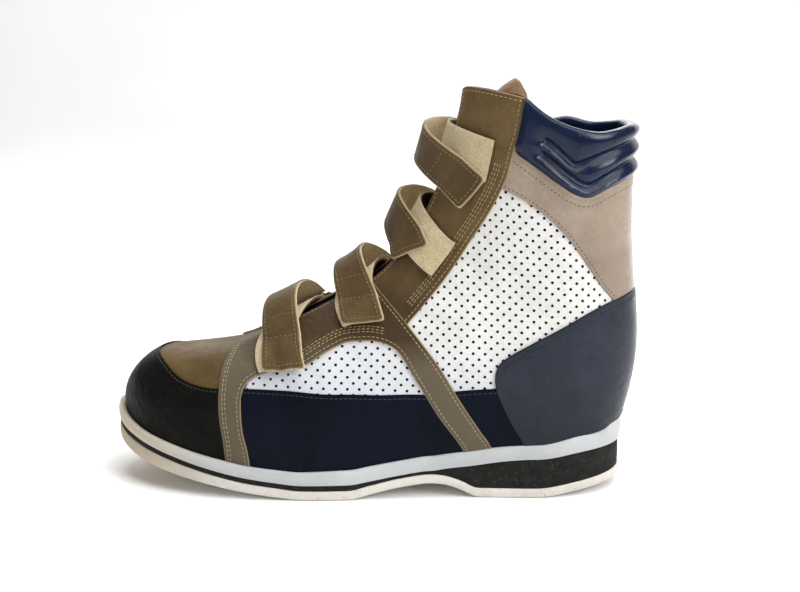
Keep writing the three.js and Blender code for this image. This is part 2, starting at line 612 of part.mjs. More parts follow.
// One layer of the sole, between two heights, with its outline drawn in and its side bowed out
function soleLayer(heights, inset, bow) {
  const rows = soleXs.map((raw) => {
    const x = Math.min(HEEL_X - inset, Math.max(TOE_X + inset, raw));
    const [low, high] = heights(x);
    const y = middle(x);
    const outer = planHalf(x, OUTSIDE, inset, inset);
    const inner = planHalf(x, INSIDE, inset, inset);
    const at = (px, py, share) => new THREE.Vector3(px, y + py, mix(low, high, share));
    return [
      at(x, -outer, 0), at(x, -outer - bow, HALF), at(x, -outer, 1),
      at(x, inner, 1), at(x, inner + bow, HALF), at(x, inner, 0),
    ];
  });
  return loft(rows);
}
addPiece('outsole', soleLayer((x) => {
  const h = soleHeights(x);
  return [h.tread, h.wedgeBottom];
}, 0, 0.3), '#d8cfc6', 0.8);
addPiece('heel_wedge', soleLayer((x) => {
  const h = soleHeights(x);
  return [h.wedgeBottom + GAP, h.midBottom];
}, WEDGE_INSET, 0.2), '#26261f', 0.85);
addPiece('midsole', soleLayer((x) => {
  const h = soleHeights(x);
  return [h.midBottom + GAP, h.bed];
}, 0, 0.8), '#dfe4e8', 0.7);
addPiece('insole', soleLayer((x) => [bedHeight(x) + GAP, bedHeight(x) + GAP + INSOLE_THICKNESS],
  SHELL_INSET + WALL + INSOLE_PLAY, 0), '#2a2724', 0.9);

// Upper: the wall between two sizes of the last, open below, at the collar and at the throat
const below = underBed(GAP);
const above = overCollar();
const ROW_THROAT = TOE_ROWS + 1.6;
const skin = grownLast(0);
const upper = skin.subtract(grownLast(-WALL)).subtract(below).subtract(above)
  .subtract(throatSlot(ROW_THROAT, THROAT_WIDTH));
addPiece('upper', toGeometry(upper), '#dfe1e3', 0.5);

// Overlays: cut between two larger sizes of the last
const overlayShell = grownLast(GAP + OVERLAY).subtract(grownLast(GAP)).subtract(below);
const facingShell = overlayShell.subtract(throatSlot(TOE_ROWS - 2, THROAT_WIDTH));
const SIDES = [['outer', [-BALL_WIDTH, -1]], ['inner', [1, BALL_WIDTH]]];
const grownPrism = (outline) => sidePrism(growOutline(outline, GAP), -BALL_WIDTH, BALL_WIDTH);
const facingKeepOut = grownPrism(FACING_LOWER);
const facingUpperKeepOut = grownPrism(FACING_UPPER);
const counterKeepOut = grownPrism(COUNTER);
const collarKeepOut = grownPrism(COLLAR);
for (const [name, half] of SIDES) {
  const lower = facingShell.intersect(sidePrism(FACING_LOWER, ...half));
  addPiece(`facing_lower_${name}`, toGeometry(lower), '#6f5e46', 0.55);
  const high = facingShell.intersect(sidePrism(FACING_UPPER, ...half))
    .subtract(facingKeepOut).subtract(above);
  addPiece(`facing_upper_${name}`, toGeometry(high), '#6b5a42', 0.55);
}
// Counter round the heel, and the low side panels between the legs of the facing
const counter = overlayShell.intersect(sidePrism(COUNTER, -BALL_WIDTH, BALL_WIDTH)).subtract(facingKeepOut);
addPiece('counter', toGeometry(counter), '#3b404e', 0.35);
for (const [name, half] of SIDES) {
  const front = overlayShell.intersect(sidePrism(LOW_FRONT, ...half)).subtract(facingKeepOut);
  addPiece(`low_panel_front_${name}`, toGeometry(front), '#1a1e28', 0.4);
  const rear = overlayShell.intersect(sidePrism(LOW_REAR, ...half)).subtract(facingKeepOut)
    .subtract(counterKeepOut);
  addPiece(`low_panel_rear_${name}`, toGeometry(rear), '#1a1e28', 0.4);
}

// Light leather quarter over the heel, between the collar, the facings and the counter
const backQuarter = overlayShell.intersect(sidePrism(BACK_QUARTER, -BALL_WIDTH, BALL_WIDTH))
  .subtract(facingUpperKeepOut).subtract(counterKeepOut).subtract(collarKeepOut);
addPiece('back_quarter', toGeometry(backQuarter), '#a39382', 0.3);

// Rand round the toe, below and in front of the vamp plug
const toeRand = overlayShell.intersect(sidePrism(TOE_RAND, -BALL_WIDTH, BALL_WIDTH))
  .subtract(facingKeepOut).subtract(planPrism(PLUG_OUTLINE, 0, FRONT_HEIGHT));
addPiece('toe_rand', toGeometry(toeRand), '#1c1c1a', 0.4);

// Padded collar: three stitched rolls, thickest at the top
function heightOn(line, x) {
  for (let i = 0; i < line.length - 1; i += 1) {
    const [x0, z0] = line[i];
    const [x1, z1] = line[i + 1];
    if ((x - x0) * (x - x1) <= 0 && x0 !== x1) return mix(z0, z1, (x - x0) / (x1 - x0));
  }
  return line[x > line[0][0] ? 0 : line.length - 1][1];
}
function collarGrowth(point) {
  const top = heightOn(COLLAR_TOP, point.x);
  const seam = heightOn(COLLAR_SEAM.slice(1), point.x);
  const down = clamp01((top - point.z) / (top - seam));
  const roll = ROLL_EDGES.findIndex((edge) => down <= edge);
  const from = roll > 0 ? ROLL_EDGES[roll - 1] : -ROLL_EDGES[0];
  const swell = Math.sin((Math.PI * (down - from)) / (ROLL_EDGES[Math.max(0, roll)] - from));
  return mix(GAP + OVERLAY, GAP + COLLAR_PAD, Math.max(0, swell) ** 0.6);
}
const collarSections = SECTIONS.slice(0, LAST_ROW - 6);
const COLLAR_ROWS = 15;
for (let i = 0; i <= COLLAR_ROWS; i += 1) {
  collarSections.push(sectionAt(mix(LAST_ROW - 6, LAST_ROW - 0.001, i / COLLAR_ROWS)));
}
const collar = grownLast(collarGrowth, collarSections).subtract(grownLast(GAP))
  .intersect(sidePrism(COLLAR, -BALL_WIDTH, BALL_WIDTH)).subtract(facingUpperKeepOut);
addPiece('collar', toGeometry(collar), '#1c2536', 0.3);

// Share of the way from the foot point to the front point where the section is 'half' wide
function frontShareAt(section, half) {
  const ratio = clamp01(half / section.outer);
  const rest = (1 - ratio ** section.top) ** (1 / section.top);
  return mix(section.full, 1, rest);
}

// Point of the last at row s, 'y' to the side of the ridge
function overRidge(s, y) {
  const section = sectionAt(s);
  const at = pointAt(section, frontShareAt(section, Math.abs(y)), OUTSIDE);
  at.y = section.y + y;
  return at;
}
function inwardAt(s, y) {
  const along = overRidge(s + 0.4, y).sub(overRidge(s - 0.4, y));
  const across = overRidge(s, y + 1.5).sub(overRidge(s, y - 1.5));
  return across.cross(along).normalize();
}

// Tongue: lies under the throat, follows the last and leans back above the facing
function tongueRow(s, shift) {
  const outerLine = [];
  const innerLine = [];
  for (let j = 0; j <= TONGUE_COLUMNS; j += 1) {
    const y = mix(-HALF, HALF, j / TONGUE_COLUMNS) * TONGUE_WIDTH;
    const at = overRidge(s, y);
    const inward = inwardAt(s, y);
    outerLine.push(at.clone().addScaledVector(inward, WALL + TONGUE_PLAY).add(shift));
    innerLine.push(at.clone().addScaledVector(inward, WALL + TONGUE_PLAY + TONGUE_THICKNESS).add(shift));
  }
  return [...outerLine, ...innerLine.reverse()];
}
const tongueRows = [];
for (let i = 0; i <= TONGUE_ROWS; i += 1) {
  const s = TOE_ROWS + mix(TONGUE_FROM, TONGUE_LEAVES, i / TONGUE_ROWS);
  tongueRows.push(tongueRow(s, new THREE.Vector3()));
}
const leave = sectionAt(TOE_ROWS + TONGUE_LEAVES);
const beforeLeave = sectionAt(TOE_ROWS + TONGUE_LEAVES - 1);
const leaveSlope = Math.atan2(leave.az - beforeLeave.az, leave.ax - beforeLeave.ax);
const free = new THREE.Vector3();
for (let i = 1; i <= TONGUE_FREE_ROWS; i += 1) {
  const slope = mix(leaveSlope, TONGUE_LEAN, smooth(i / TONGUE_FREE_ROWS));
  const step = TONGUE_REACH / TONGUE_FREE_ROWS;
  free.add(new THREE.Vector3(Math.cos(slope) * step, 0, Math.sin(slope) * step));
  tongueRows.push(tongueRow(TOE_ROWS + TONGUE_LEAVES, free.clone()));
}
addPiece('tongue', loft(tongueRows), '#5b4128', 0.6);

// Closures. Each strap is one band: it lies on the outer facing, crosses the throat, turns
// round the bar of a metal ring on the inner side and comes back over itself to its tip.

// Whether a point is inside the last
function isInside(point) {
  let low = 0;
  let high = LAST_ROW - 0.001;
  const sideOf = (s) => {
    const q = sectionAt(s);
    return (q.ax - q.bx) * (point.z - q.bz) - (q.az - q.bz) * (point.x - q.bx);
  };
  const first = sideOf(1) > 0;
  for (let i = 0; i < 18; i += 1) {
    const half = (low + high) * HALF;
    if ((sideOf(half) > 0) === first) low = half;
    else high = half;
  }
  const q = sectionAt(low);
  const dx = q.ax - q.bx;
  const dz = q.az - q.bz;
  const v = ((point.x - q.bx) * dx + (point.z - q.bz) * dz) / (dx * dx + dz * dz);
  if (v <= 0 || v >= 1) return false;
  const sideHere = point.y < q.y ? OUTSIDE : INSIDE;
  return Math.abs(point.y - q.y) < halfAt(q, v, sideHere);
}

// Frame of one closure: 'along' runs up the throat, 'out' away from the foot
function closurePlace(row) {
  const here = sectionAt(row);
  const sectionBelow = sectionAt(row - HALF);
  const sectionAbove = sectionAt(row + HALF);
  const rise = sectionAbove.az - sectionBelow.az;
  const along = new THREE.Vector3(sectionAbove.ax - sectionBelow.ax, 0, rise).normalize();
  const out = new THREE.Vector3(-along.z, 0, along.x);
  const core = new THREE.Vector3(here.ax, here.y, here.az).addScaledVector(out, -CORE_DEPTH);
  const direction = (turn) => {
    const sideways = new THREE.Vector3(0, Math.sin(turn), 0);
    return out.clone().multiplyScalar(Math.cos(turn)).add(sideways);
  };
  const reach = (shift, turn) => {
    const base = core.clone().addScaledVector(along, shift);
    const ray = direction(turn);
    let high = CORE_DEPTH * HALF;
    const isIn = (far) => isInside(base.clone().addScaledVector(ray, far));
    while (high < CORE_DEPTH * 3 && isIn(high)) high += RAY_STEP;
    let low = high - RAY_STEP;
    for (let i = 0; i < 12; i += 1) {
      const half = (low + high) * HALF;
      if (isIn(half)) low = half;
      else high = half;
    }
    return low;
  };
  const turns = [];
  const lengths = [];
  for (const sign of [-1, 1]) {
    let previous = null;
    let length = 0;
    for (let k = 0; k <= GIRTH_STEPS; k += 1) {
      const turn = (sign * k * WIDEST_TURN) / GIRTH_STEPS;
      const point = direction(turn).multiplyScalar(reach(0, turn));
      if (previous) length += point.distanceTo(previous);
      previous = point;
      turns.push(turn);
      lengths.push(sign * length);
    }
  }
  const order = lengths.map((_, i) => i).sort((a, b) => lengths[a] - lengths[b]);
  const turnAt = (girth) => {
    for (let i = 0; i < order.length - 1; i += 1) {
      const a = order[i];
      const b = order[i + 1];
      if (girth <= lengths[b] && lengths[b] > lengths[a]) {
        return mix(turns[a], turns[b], (girth - lengths[a]) / (lengths[b] - lengths[a]));
      }
    }
    return turns[order[order.length - 1]];
  };
  const point = (shift, girth, lift) => {
    const turn = turnAt(girth);
    const base = core.clone().addScaledVector(along, shift);
    return base.addScaledVector(direction(turn), reach(shift, turn) + lift);
  };
  return { along, point };
}

// Flat band along a path of [girth, lift, shift] points. Its width is laid square to the path,
// so it turns where the path swings to one side.
function bandSolid(place, path, width, thickness) {
  const rows = path.map(([girth, lift, shift], i) => {
    const before = path[Math.max(0, i - 1)];
    const after = path[Math.min(path.length - 1, i + 1)];
    const across = new THREE.Vector2(before[1] - after[1], after[0] - before[0]).normalize();
    across.multiplyScalar(thickness * HALF);
    const swing = before[2] === after[2] ? 0 : Math.atan((after[2] - before[2]) / (after[0] - before[0]));
    const wide = width * HALF * Math.cos(swing);
    const turned = -width * HALF * Math.sin(swing);
    const corner = (w, t) => place.point(
      shift + w * wide, girth + w * turned + across.x * t, lift + across.y * t);
    return [corner(-1, 1), corner(1, 1), corner(1, -1), corner(-1, -1)];
  });
  return loft(rows);
}

const BAND_PLAY = 0.4; // between two layers of a strap
const TURN_PLAY = 1.3; // between a strap and the ring bar that it turns round
const LIE = STRAP_REST + STRAP_THICKNESS * HALF; // middle of the lower layer, above the bare upper
const OVER = LIE + STRAP_THICKNESS + BAND_PLAY;
const BAR = RING_PLACE - (RING_OPENING + RING_BAR) * HALF; // the bar nearer the throat
const FAR_BAR = BAR + RING_OPENING + RING_BAR;
const RING_LIFT = LIE + STRAP_THICKNESS * HALF + TURN_PLAY + GAP;
const TURN_TOP = RING_LIFT + RING_BAR + STRAP_THICKNESS * HALF + TURN_PLAY;

// Path round a ring bar, from below to above. 'sense' is +1 when it turns away from the throat.
const TURN_STEPS = 6;
const TURN_REACH = RING_BAR * HALF + STRAP_THICKNESS * HALF + TURN_PLAY;
const roundBar = (bar, sense) => {
  const path = [];
  for (let i = 0; i <= TURN_STEPS; i += 1) {
    const turn = (Math.PI * i) / TURN_STEPS;
    const lift = mix(LIE, TURN_TOP, (1 - Math.cos(turn)) * HALF);
    path.push([bar + sense * TURN_REACH * Math.sin(turn), lift, 0]);
  }
  return path;
};

const LAY_STEP = 5; // length of one stretch of the lower layer
const BACK_STEPS = 10;
const RING_ROOM = 3; // a layer meets its turn this far from the ring bar

function strapPath({ fixed, lead, tip, skew }) {
  const path = [];
  const steps = Math.ceil((fixed + BAR) / LAY_STEP);
  for (let i = 0; i <= steps; i += 1) {
    const share = i / steps;
    path.push([mix(-fixed, BAR - RING_ROOM, share), LIE, -lead * (1 - smooth(share))]);
  }
  path.push(...roundBar(BAR, 1));
  for (let i = 1; i <= BACK_STEPS; i += 1) {
    const share = i / BACK_STEPS;
    const girth = mix(BAR - RING_ROOM, -tip, share);
    const settling = clamp01((BAR - girth) / (BAR + tip * SETTLED));
    const lift = mix(TURN_TOP, OVER, smooth(settling)) + STRAP_SLACK * Math.sin(Math.PI * settling);
    path.push([girth, lift, -skew * share ** SWING]);
  }
  return path;
}

// The chape: sewn to the inner facing, round the ring's far bar and back over itself
const CHAPE_STEPS = 3;
function chapePath() {
  const end = FAR_BAR + CHAPE_LENGTH;
  const path = [];
  for (let i = 0; i < CHAPE_STEPS; i += 1) path.push([mix(end, FAR_BAR, i / CHAPE_STEPS), LIE, 0]);
  path.push(...roundBar(FAR_BAR, -1));
  for (let i = 1; i <= CHAPE_STEPS; i += 1) {
    const share = i / CHAPE_STEPS;
    path.push([mix(FAR_BAR, end - RING_ROOM, share), mix(TURN_TOP, OVER, smooth(share)), 0]);
  }
  return path;
}

// Rectangular metal ring: a square bar that goes round the corners of its opening
function ringGeometry(place) {
  const wide = STRAP_WIDTH * HALF + RING_PLAY;
  const high = RING_OPENING * HALF;
  const corners = [[-1, -1], [1, -1], [1, 1], [-1, 1]];
  const rows = corners.map(([across, down]) => {
    const corner = (grow, lift) => place.point(
      across * (wide + grow), RING_PLACE + down * (high + grow), RING_LIFT + lift);
    return [corner(0, 0), corner(RING_BAR, 0), corner(RING_BAR, RING_BAR), corner(0, RING_BAR)];
  });
  return loft(rows, true);
}

CLOSURES.forEach((closure, i) => {
  const place = closurePlace(TOE_ROWS + closure.row);
  const number = i + 1;
  const strap = bandSolid(place, strapPath(closure), STRAP_WIDTH, STRAP_THICKNESS);
  const chape = bandSolid(place, chapePath(), CHAPE_WIDTH, STRAP_THICKNESS);
  addPiece(`strap_${number}`, strap, '#62502f', 0.6);
  addPiece(`ring_${number}`, ringGeometry(place), '#8d8b86', 0.3, 0.9);
  addPiece(`chape_${number}`, chape, '#5c4a30', 0.6);
});

export default part;
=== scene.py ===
# %% [markdown]
# # An orthopedic ankle boot, as a lesson in cells
# The real boot is cut from flat leather, sewn, pulled over a last and cemented to a sole of
# three layers. The lesson follows the same order: the frame with the camera, the last as a
# formula, then the finishes, the sole, the leather panels laid on the last, the padded collar
# and tongue, the straps with their rings, and last the thread and the punched holes.
# Sizes are in millimetres until a mesh is made, and in metres in the mesh.

# %% Frame
import math
import bpy
import bmesh
import numpy as np
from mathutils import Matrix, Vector
from mathutils.geometry import delaunay_2d_cdt


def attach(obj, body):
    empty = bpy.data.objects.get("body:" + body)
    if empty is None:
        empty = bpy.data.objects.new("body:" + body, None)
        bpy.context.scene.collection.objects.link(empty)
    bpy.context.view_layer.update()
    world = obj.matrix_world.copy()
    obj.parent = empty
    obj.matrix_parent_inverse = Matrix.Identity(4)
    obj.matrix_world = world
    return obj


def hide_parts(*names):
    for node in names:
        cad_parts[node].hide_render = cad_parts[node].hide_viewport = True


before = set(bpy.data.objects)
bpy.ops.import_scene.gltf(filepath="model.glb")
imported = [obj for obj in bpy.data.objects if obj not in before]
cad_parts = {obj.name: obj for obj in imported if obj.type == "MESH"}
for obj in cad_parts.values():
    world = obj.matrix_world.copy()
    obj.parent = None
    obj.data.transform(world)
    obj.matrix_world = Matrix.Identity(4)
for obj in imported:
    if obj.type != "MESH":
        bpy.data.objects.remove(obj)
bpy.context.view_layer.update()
MM = 0.001
BODY = "root"  # the boot is one body

# %% [markdown]
# ## Camera and light
# The photograph is taken from the outer side, a little above, from about 80 cm. The studio is
# a pale sweep, as a product table has. A large soft light hangs above, towards the heel, and a
# cooler one stands low on the heel's side; a weak one fills the toe, one lights the far side
# and one the sweep. Soft lights give leather broad highlights and show its form.

# %% Camera
PHOTO_WIDTH = 800
SENSOR_WIDTH = 36.0
PIXEL_SIZE = 0.0006  # metres on the boot for one pixel of the photograph
CAMERA_PLACE = Vector((-0.0152, -0.7981, 0.290))
CAMERA_AIM = Vector((-0.071, 0.0, 0.112))

camera_data = bpy.data.cameras.new("studio_camera")
camera = bpy.data.objects.new("studio_camera", camera_data)
bpy.context.scene.collection.objects.link(camera)
sight = CAMERA_AIM - CAMERA_PLACE
camera.location = CAMERA_PLACE
camera.rotation_euler = sight.to_track_quat("-Z", "Y").to_euler()
camera_data.sensor_width = SENSOR_WIDTH
camera_data.lens = sight.length / PIXEL_SIZE * SENSOR_WIDTH / PHOTO_WIDTH
camera_data.clip_start = 0.05
camera_data.clip_end = 20.0
bpy.context.scene.camera = camera
print("lens", round(camera_data.lens, 1), "mm")


# %% Lights
def area_light(name, place, aim, size, power, colour=(1.0, 1.0, 1.0)):
    """A square soft box that looks at a point."""
    data = bpy.data.lights.new(name, "AREA")
    data.shape = "SQUARE"
    data.size = size
    data.energy = power
    data.color = colour
    light = bpy.data.objects.new(name, data)
    bpy.context.scene.collection.objects.link(light)
    light.location = place
    light.rotation_euler = (Vector(aim) - Vector(place)).to_track_quat("-Z", "Y").to_euler()
    return light


MIDDLE = (-0.09, 0.0, 0.10)  # of the boot, in metres
area_light("soft_top", (0.45, -0.35, 1.25), MIDDLE, 1.0, 11.0, (1.0, 0.985, 0.96))
area_light("soft_front", (-1.25, -1.05, 0.85), MIDDLE, 0.8, 1.8)
area_light("soft_heel", (1.15, -0.85, 0.85), MIDDLE, 0.6, 11.5, (0.97, 0.985, 1.0))
area_light("soft_inner", (-0.2, 1.1, 0.9), MIDDLE, 1.0, 6.0)
area_light("sweep_light", (0.0, 0.3, 2.2), (0.0, 1.9, 0.4), 1.4, 35.0)

world = bpy.data.worlds.new("studio_world")
bpy.context.scene.world = world
world.use_nodes = True
sky = world.node_tree.nodes["Background"].inputs
sky["Color"].default_value = (1.0, 1.0, 1.0, 1.0)
sky["Strength"].default_value = 0.24
bpy.context.scene.view_settings.view_transform = "Standard"

# %% [markdown]
# ## The last
# A boot is built round a last, a solid foot form. Its maker draws it as a row of sections.
# Here each section runs from a foot point to a front point, and the sections fan round from
# the toe to the top of the shaft. Everything that lies on the skin is placed by two numbers:
# `s`, the section, and `g`, the share of the way round it, from 0 on the ridge to -1 under
# the foot on the outer side and +1 on the inner side.

# %% Sizes of the boot, in millimetres
SOLE_LENGTH = 307
HEEL_OVERHANG = 62  # from the origin back to the heel's end
BALL_WIDTH = 104
HEEL_WIDTH = 76
TOE_SPRING = 23
TOE_ROUND = 95
HEEL_ROUND = 59
TOE_SWING = 4  # the toe turns in by this much
OUTSOLE_THICKNESS = 5.6
HEEL_LIFT = 18
MIDSOLE_THICKNESS = 8.6
WEDGE_INSET = 0.8
LEDGE = 4.6
INSOLE_THICKNESS = 3.5
BACK_HEIGHT = 216
FRONT_HEIGHT = 238
SHAFT_WIDTH = 74.6
SHAFT_DEPTH = 98
WALL = 2.0
THROAT_WIDTH = 25
GAP = 0.3
SINK = 6  # the last starts this far under the top of the sole
TOE_POLE = 0.198  # height of the toe's tip, as a share of the front height
TOE_ROWS = 8
TOE_STEP = 0.0036  # share of the length from the tip to the first section
HEEL_X = HEEL_OVERHANG
TOE_X = HEEL_OVERHANG - SOLE_LENGTH
OUTSIDE = -1
INSIDE = 1
SHELL_INSET = LEDGE + 0.4
HEEL_LEDGE = LEDGE * 0.2

# %% Tables of the sole and the last
# Sole: share of the length from the heel end, then shares of the toe spring, outsole,
# heel lift and midsole thickness.
SOLE_COLUMNS = ("along", "tread", "outsole", "wedge", "mid")
SOLE_TABLE = np.array([
    (0.000, 0.270, 1.00, 0.900, 1.820), (0.039, 0.200, 1.00, 0.960, 1.430),
    (0.088, 0.120, 1.00, 1.000, 1.190), (0.163, 0.000, 1.00, 1.000, 0.980),
    (0.274, 0.000, 1.00, 0.800, 1.050), (0.309, 0.195, 1.00, 0.470, 1.050),
    (0.339, 0.330, 1.00, 0.240, 1.030), (0.365, 0.374, 1.00, 0.125, 1.030),
    (0.423, 0.287, 1.00, 0.115, 1.000), (0.482, 0.113, 1.00, 0.155, 1.020),
    (0.521, 0.000, 1.00, 0.200, 1.000), (0.609, 0.000, 1.00, 0.190, 0.910),
    (0.658, 0.060, 1.02, 0.180, 0.895), (0.723, 0.165, 1.05, 0.180, 0.840),
    (0.788, 0.300, 1.15, 0.180, 0.780), (0.853, 0.443, 1.35, 0.180, 0.740),
    (0.919, 0.622, 1.50, 0.180, 0.740), (0.967, 0.817, 1.55, 0.180, 0.850),
    (1.000, 1.000, 1.55, 0.180, 1.150),
])
# Plan: how far each side has grown from the heel's half width (0) to the ball's (1).
PLAN_COLUMNS = ("along", "outer", "inner")
PLAN_TABLE = np.array([
    (0.190, 0.000, 0.000), (0.306, 0.070, -0.120), (0.365, 0.210, -0.130),
    (0.423, 0.420, 0.000), (0.482, 0.630, 0.280), (0.537, 0.845, 0.600),
    (0.593, 0.970, 0.850), (0.645, 1.000, 0.950), (1.000, 1.000, 1.000),
])
# Ridge of the toe box: share of the length, share of the front height.
RIDGE_COLUMNS = ("along", "up")
RIDGE_TABLE = np.array([
    (0.690, 0.380), (0.733, 0.356), (0.782, 0.343), (0.879, 0.329), (0.984, 0.322),
])
# Fan: foot is the place along the sole, or back a share of the back height with its bulge;
# fx and fz place the front point; girth, full, low and top shape the section.
FAN_COLUMNS = ("foot", "back", "bulge", "fx", "fz", "girth", "full", "low", "top")
FAN_TABLE = np.array([
    (0.697, 0, 0, 0.6990, 0.3770, 1.330, 0.300, 2.50, 2.50),
    (0.645, 0, 0, 0.6515, 0.4076, 1.330, 0.300, 2.50, 2.40),
    (0.593, 0, 0, 0.6060, 0.4390, 1.310, 0.300, 2.40, 2.30),
    (0.541, 0, 0, 0.5668, 0.4677, 1.270, 0.300, 2.30, 2.20),
    (0.485, 0, 0, 0.5326, 0.4929, 1.200, 0.300, 2.20, 2.10),
    (0.423, 0, 0, 0.5016, 0.5168, 1.140, 0.310, 2.10, 2.10),
    (0.358, 0, 0, 0.4772, 0.5420, 1.100, 0.320, 1.90, 2.10),
    (0.293, 0, 0, 0.4577, 0.5672, 1.070, 0.330, 1.80, 2.10),
    (0.228, 0, 0, 0.4414, 0.5945, 1.045, 0.330, 1.70, 2.10),
    (0.163, 0, 0, 0.4265, 0.6231, 1.025, 0.340, 1.65, 2.15),
    (0.101, 0, 0, 0.4147, 0.6492, 1.005, 0.340, 1.60, 2.15),
    (0.052, 0, 0, 0.4036, 0.6723, 0.990, 0.350, 1.60, 2.20),
    (0.024, 0, 0, 0.3951, 0.6912, 0.980, 0.355, 1.65, 2.20),
    (0, 0.167, -0.013, 0.3883, 0.7071, 0.970, 0.360, 1.75, 2.20),
    (0, 0.218, 0.013, 0.3821, 0.7227, 0.965, 0.370, 1.85, 2.20),
    (0, 0.278, 0.052, 0.3733, 0.7450, 0.960, 0.380, 1.95, 2.20),
    (0, 0.352, 0.083, 0.3642, 0.7710, 0.955, 0.400, 2.00, 2.25),
    (0, 0.431, 0.092, 0.3557, 0.7983, 0.955, 0.410, 2.05, 2.25),
    (0, 0.519, 0.074, 0.3479, 0.8277, 0.960, 0.420, 2.10, 2.30),
    (0, 0.611, 0.049, 0.3407, 0.8571, 0.967, 0.430, 2.10, 2.30),
    (0, 0.704, 0.030, 0.3342, 0.8866, 0.975, 0.440, 2.15, 2.30),
    (0, 0.796, 0.022, 0.3283, 0.9160, 0.985, 0.450, 2.15, 2.30),
    (0, 0.889, 0.024, 0.3225, 0.9454, 0.993, 0.455, 2.20, 2.30),
    (0, 0.981, 0.030, 0.3176, 0.9790, 1.000, 0.460, 2.20, 2.30),
    (0, 1.083, 0.033, 0.3127, 1.0252, 1.008, 0.465, 2.20, 2.30),
])

# %% Small maths
def mix(a, b, t):
    """Value at share t of the way from a to b."""
    return a + (b - a) * t


def smooth(t):
    """From 0 to 1, level at both ends."""
    t = np.clip(t, 0, 1)
    return t * t * (3 - 2 * t)


def round_end(t, power):
    """Quarter of a superellipse: 0 at t = 0, level at t = 1."""
    t = np.clip(t, 0, 1)
    return (1 - (1 - t) ** power) ** (1 / power)


def look_up(table, columns, name, place):
    """A column's value on a curve that never overshoots the table's rows."""
    xs = table[:, 0]
    ys = table[:, columns.index(name)]
    place = np.clip(np.asarray(place, float), xs[0], xs[-1])
    slope = np.diff(ys) / np.diff(xs)
    both = slope[:-1] * slope[1:]
    bend = np.where(both > 0, 2 * both / (slope[:-1] + slope[1:] + 1e-12), 0)
    bend = np.concatenate(([slope[0]], bend, [slope[-1]]))
    i = np.clip(np.searchsorted(xs, place, side="right") - 1, 0, len(xs) - 2)
    width = xs[i + 1] - xs[i]
    t = (place - xs[i]) / width
    a = bend[i] * width
    b = bend[i + 1] * width
    rise = ys[i + 1] - ys[i]
    return ys[i] + t * (a + t * (3 * rise - 2 * a - b + t * (a + b - 2 * rise)))


def distances(points):
    """Length along a line at each of its points."""
    return np.concatenate([[0], np.cumsum(np.linalg.norm(np.diff(points, axis=0), axis=1))])


def share_along(x):
    """Share of the sole's length, from the heel's end."""
    return (HEEL_X - x) / SOLE_LENGTH


def x_at(share):
    return HEEL_X - share * SOLE_LENGTH


# %% Heights and plan of the sole
def sole_heights(x):
    """Tread, top of the outsole, top of the wedge and top of the midsole at a place along."""
    at = share_along(x)
    tread = look_up(SOLE_TABLE, SOLE_COLUMNS, "tread", at) * TOE_SPRING
    wedge_bottom = tread + look_up(SOLE_TABLE, SOLE_COLUMNS, "outsole", at) * OUTSOLE_THICKNESS
    mid_bottom = wedge_bottom + look_up(SOLE_TABLE, SOLE_COLUMNS, "wedge", at) * HEEL_LIFT
    bed = mid_bottom + look_up(SOLE_TABLE, SOLE_COLUMNS, "mid", at) * MIDSOLE_THICKNESS
    return tread, wedge_bottom, mid_bottom, bed


def bed_height(x):
    return sole_heights(x)[3]


def middle(x):
    """Sideways place of the boot's middle line, which swings in at the toe."""
    return TOE_SWING * np.clip((share_along(x) - 0.55) / 0.45, 0, 1) ** 2


def plan_half(x, side, inset, heel_inset):
    """Half width of the sole's outline on one side, drawn in by an inset."""
    grown = look_up(PLAN_TABLE, PLAN_COLUMNS, "outer" if side == OUTSIDE else "inner", share_along(x))
    half = mix(HEEL_WIDTH / 2, BALL_WIDTH / 2, grown) - inset
    toe = round_end((x - TOE_X - inset) / TOE_ROUND, 2)
    heel = round_end((HEEL_X - heel_inset - x) / HEEL_ROUND, 2)
    return half * toe * heel


# %% Sections of the last
# Columns of a section: foot point, front point, half widths at the foot and at the widest,
# and the shape numbers.
SECTION_COLUMNS = ("bx", "bz", "ax", "az", "foot_outer", "foot_inner", "outer", "inner",
                   "full", "low", "top", "y")


def toe_sections(k):
    """Sections of the toe box, by formula, for section numbers from 0 to TOE_ROWS."""
    start = TOE_STEP * SOLE_LENGTH * k * k
    x = TOE_X + SHELL_INSET + start
    pole = TOE_POLE * FRONT_HEIGHT
    ridge = look_up(RIDGE_TABLE, RIDGE_COLUMNS, "up", share_along(x)) * FRONT_HEIGHT
    rise = round_end(start / (TOE_ROUND * 0.32), 1.8)
    drop = round_end(start / (TOE_ROUND * 0.07), 2)
    foot = bed_height(x) - SINK
    outer = plan_half(x, OUTSIDE, SHELL_INSET, HEEL_LEDGE)
    inner = plan_half(x, INSIDE, SHELL_INSET, HEEL_LEDGE)
    flat = np.ones_like(x)
    return np.stack([
        x, mix(pole, foot, drop), x, mix(pole, ridge, rise), outer * 0.96, inner * 0.96,
        outer + 1.2 * rise, inner + 1.2 * rise, flat * 0.32, flat * 2.3, mix(2.2, 2.6, rise), middle(x),
    ], axis=-1)


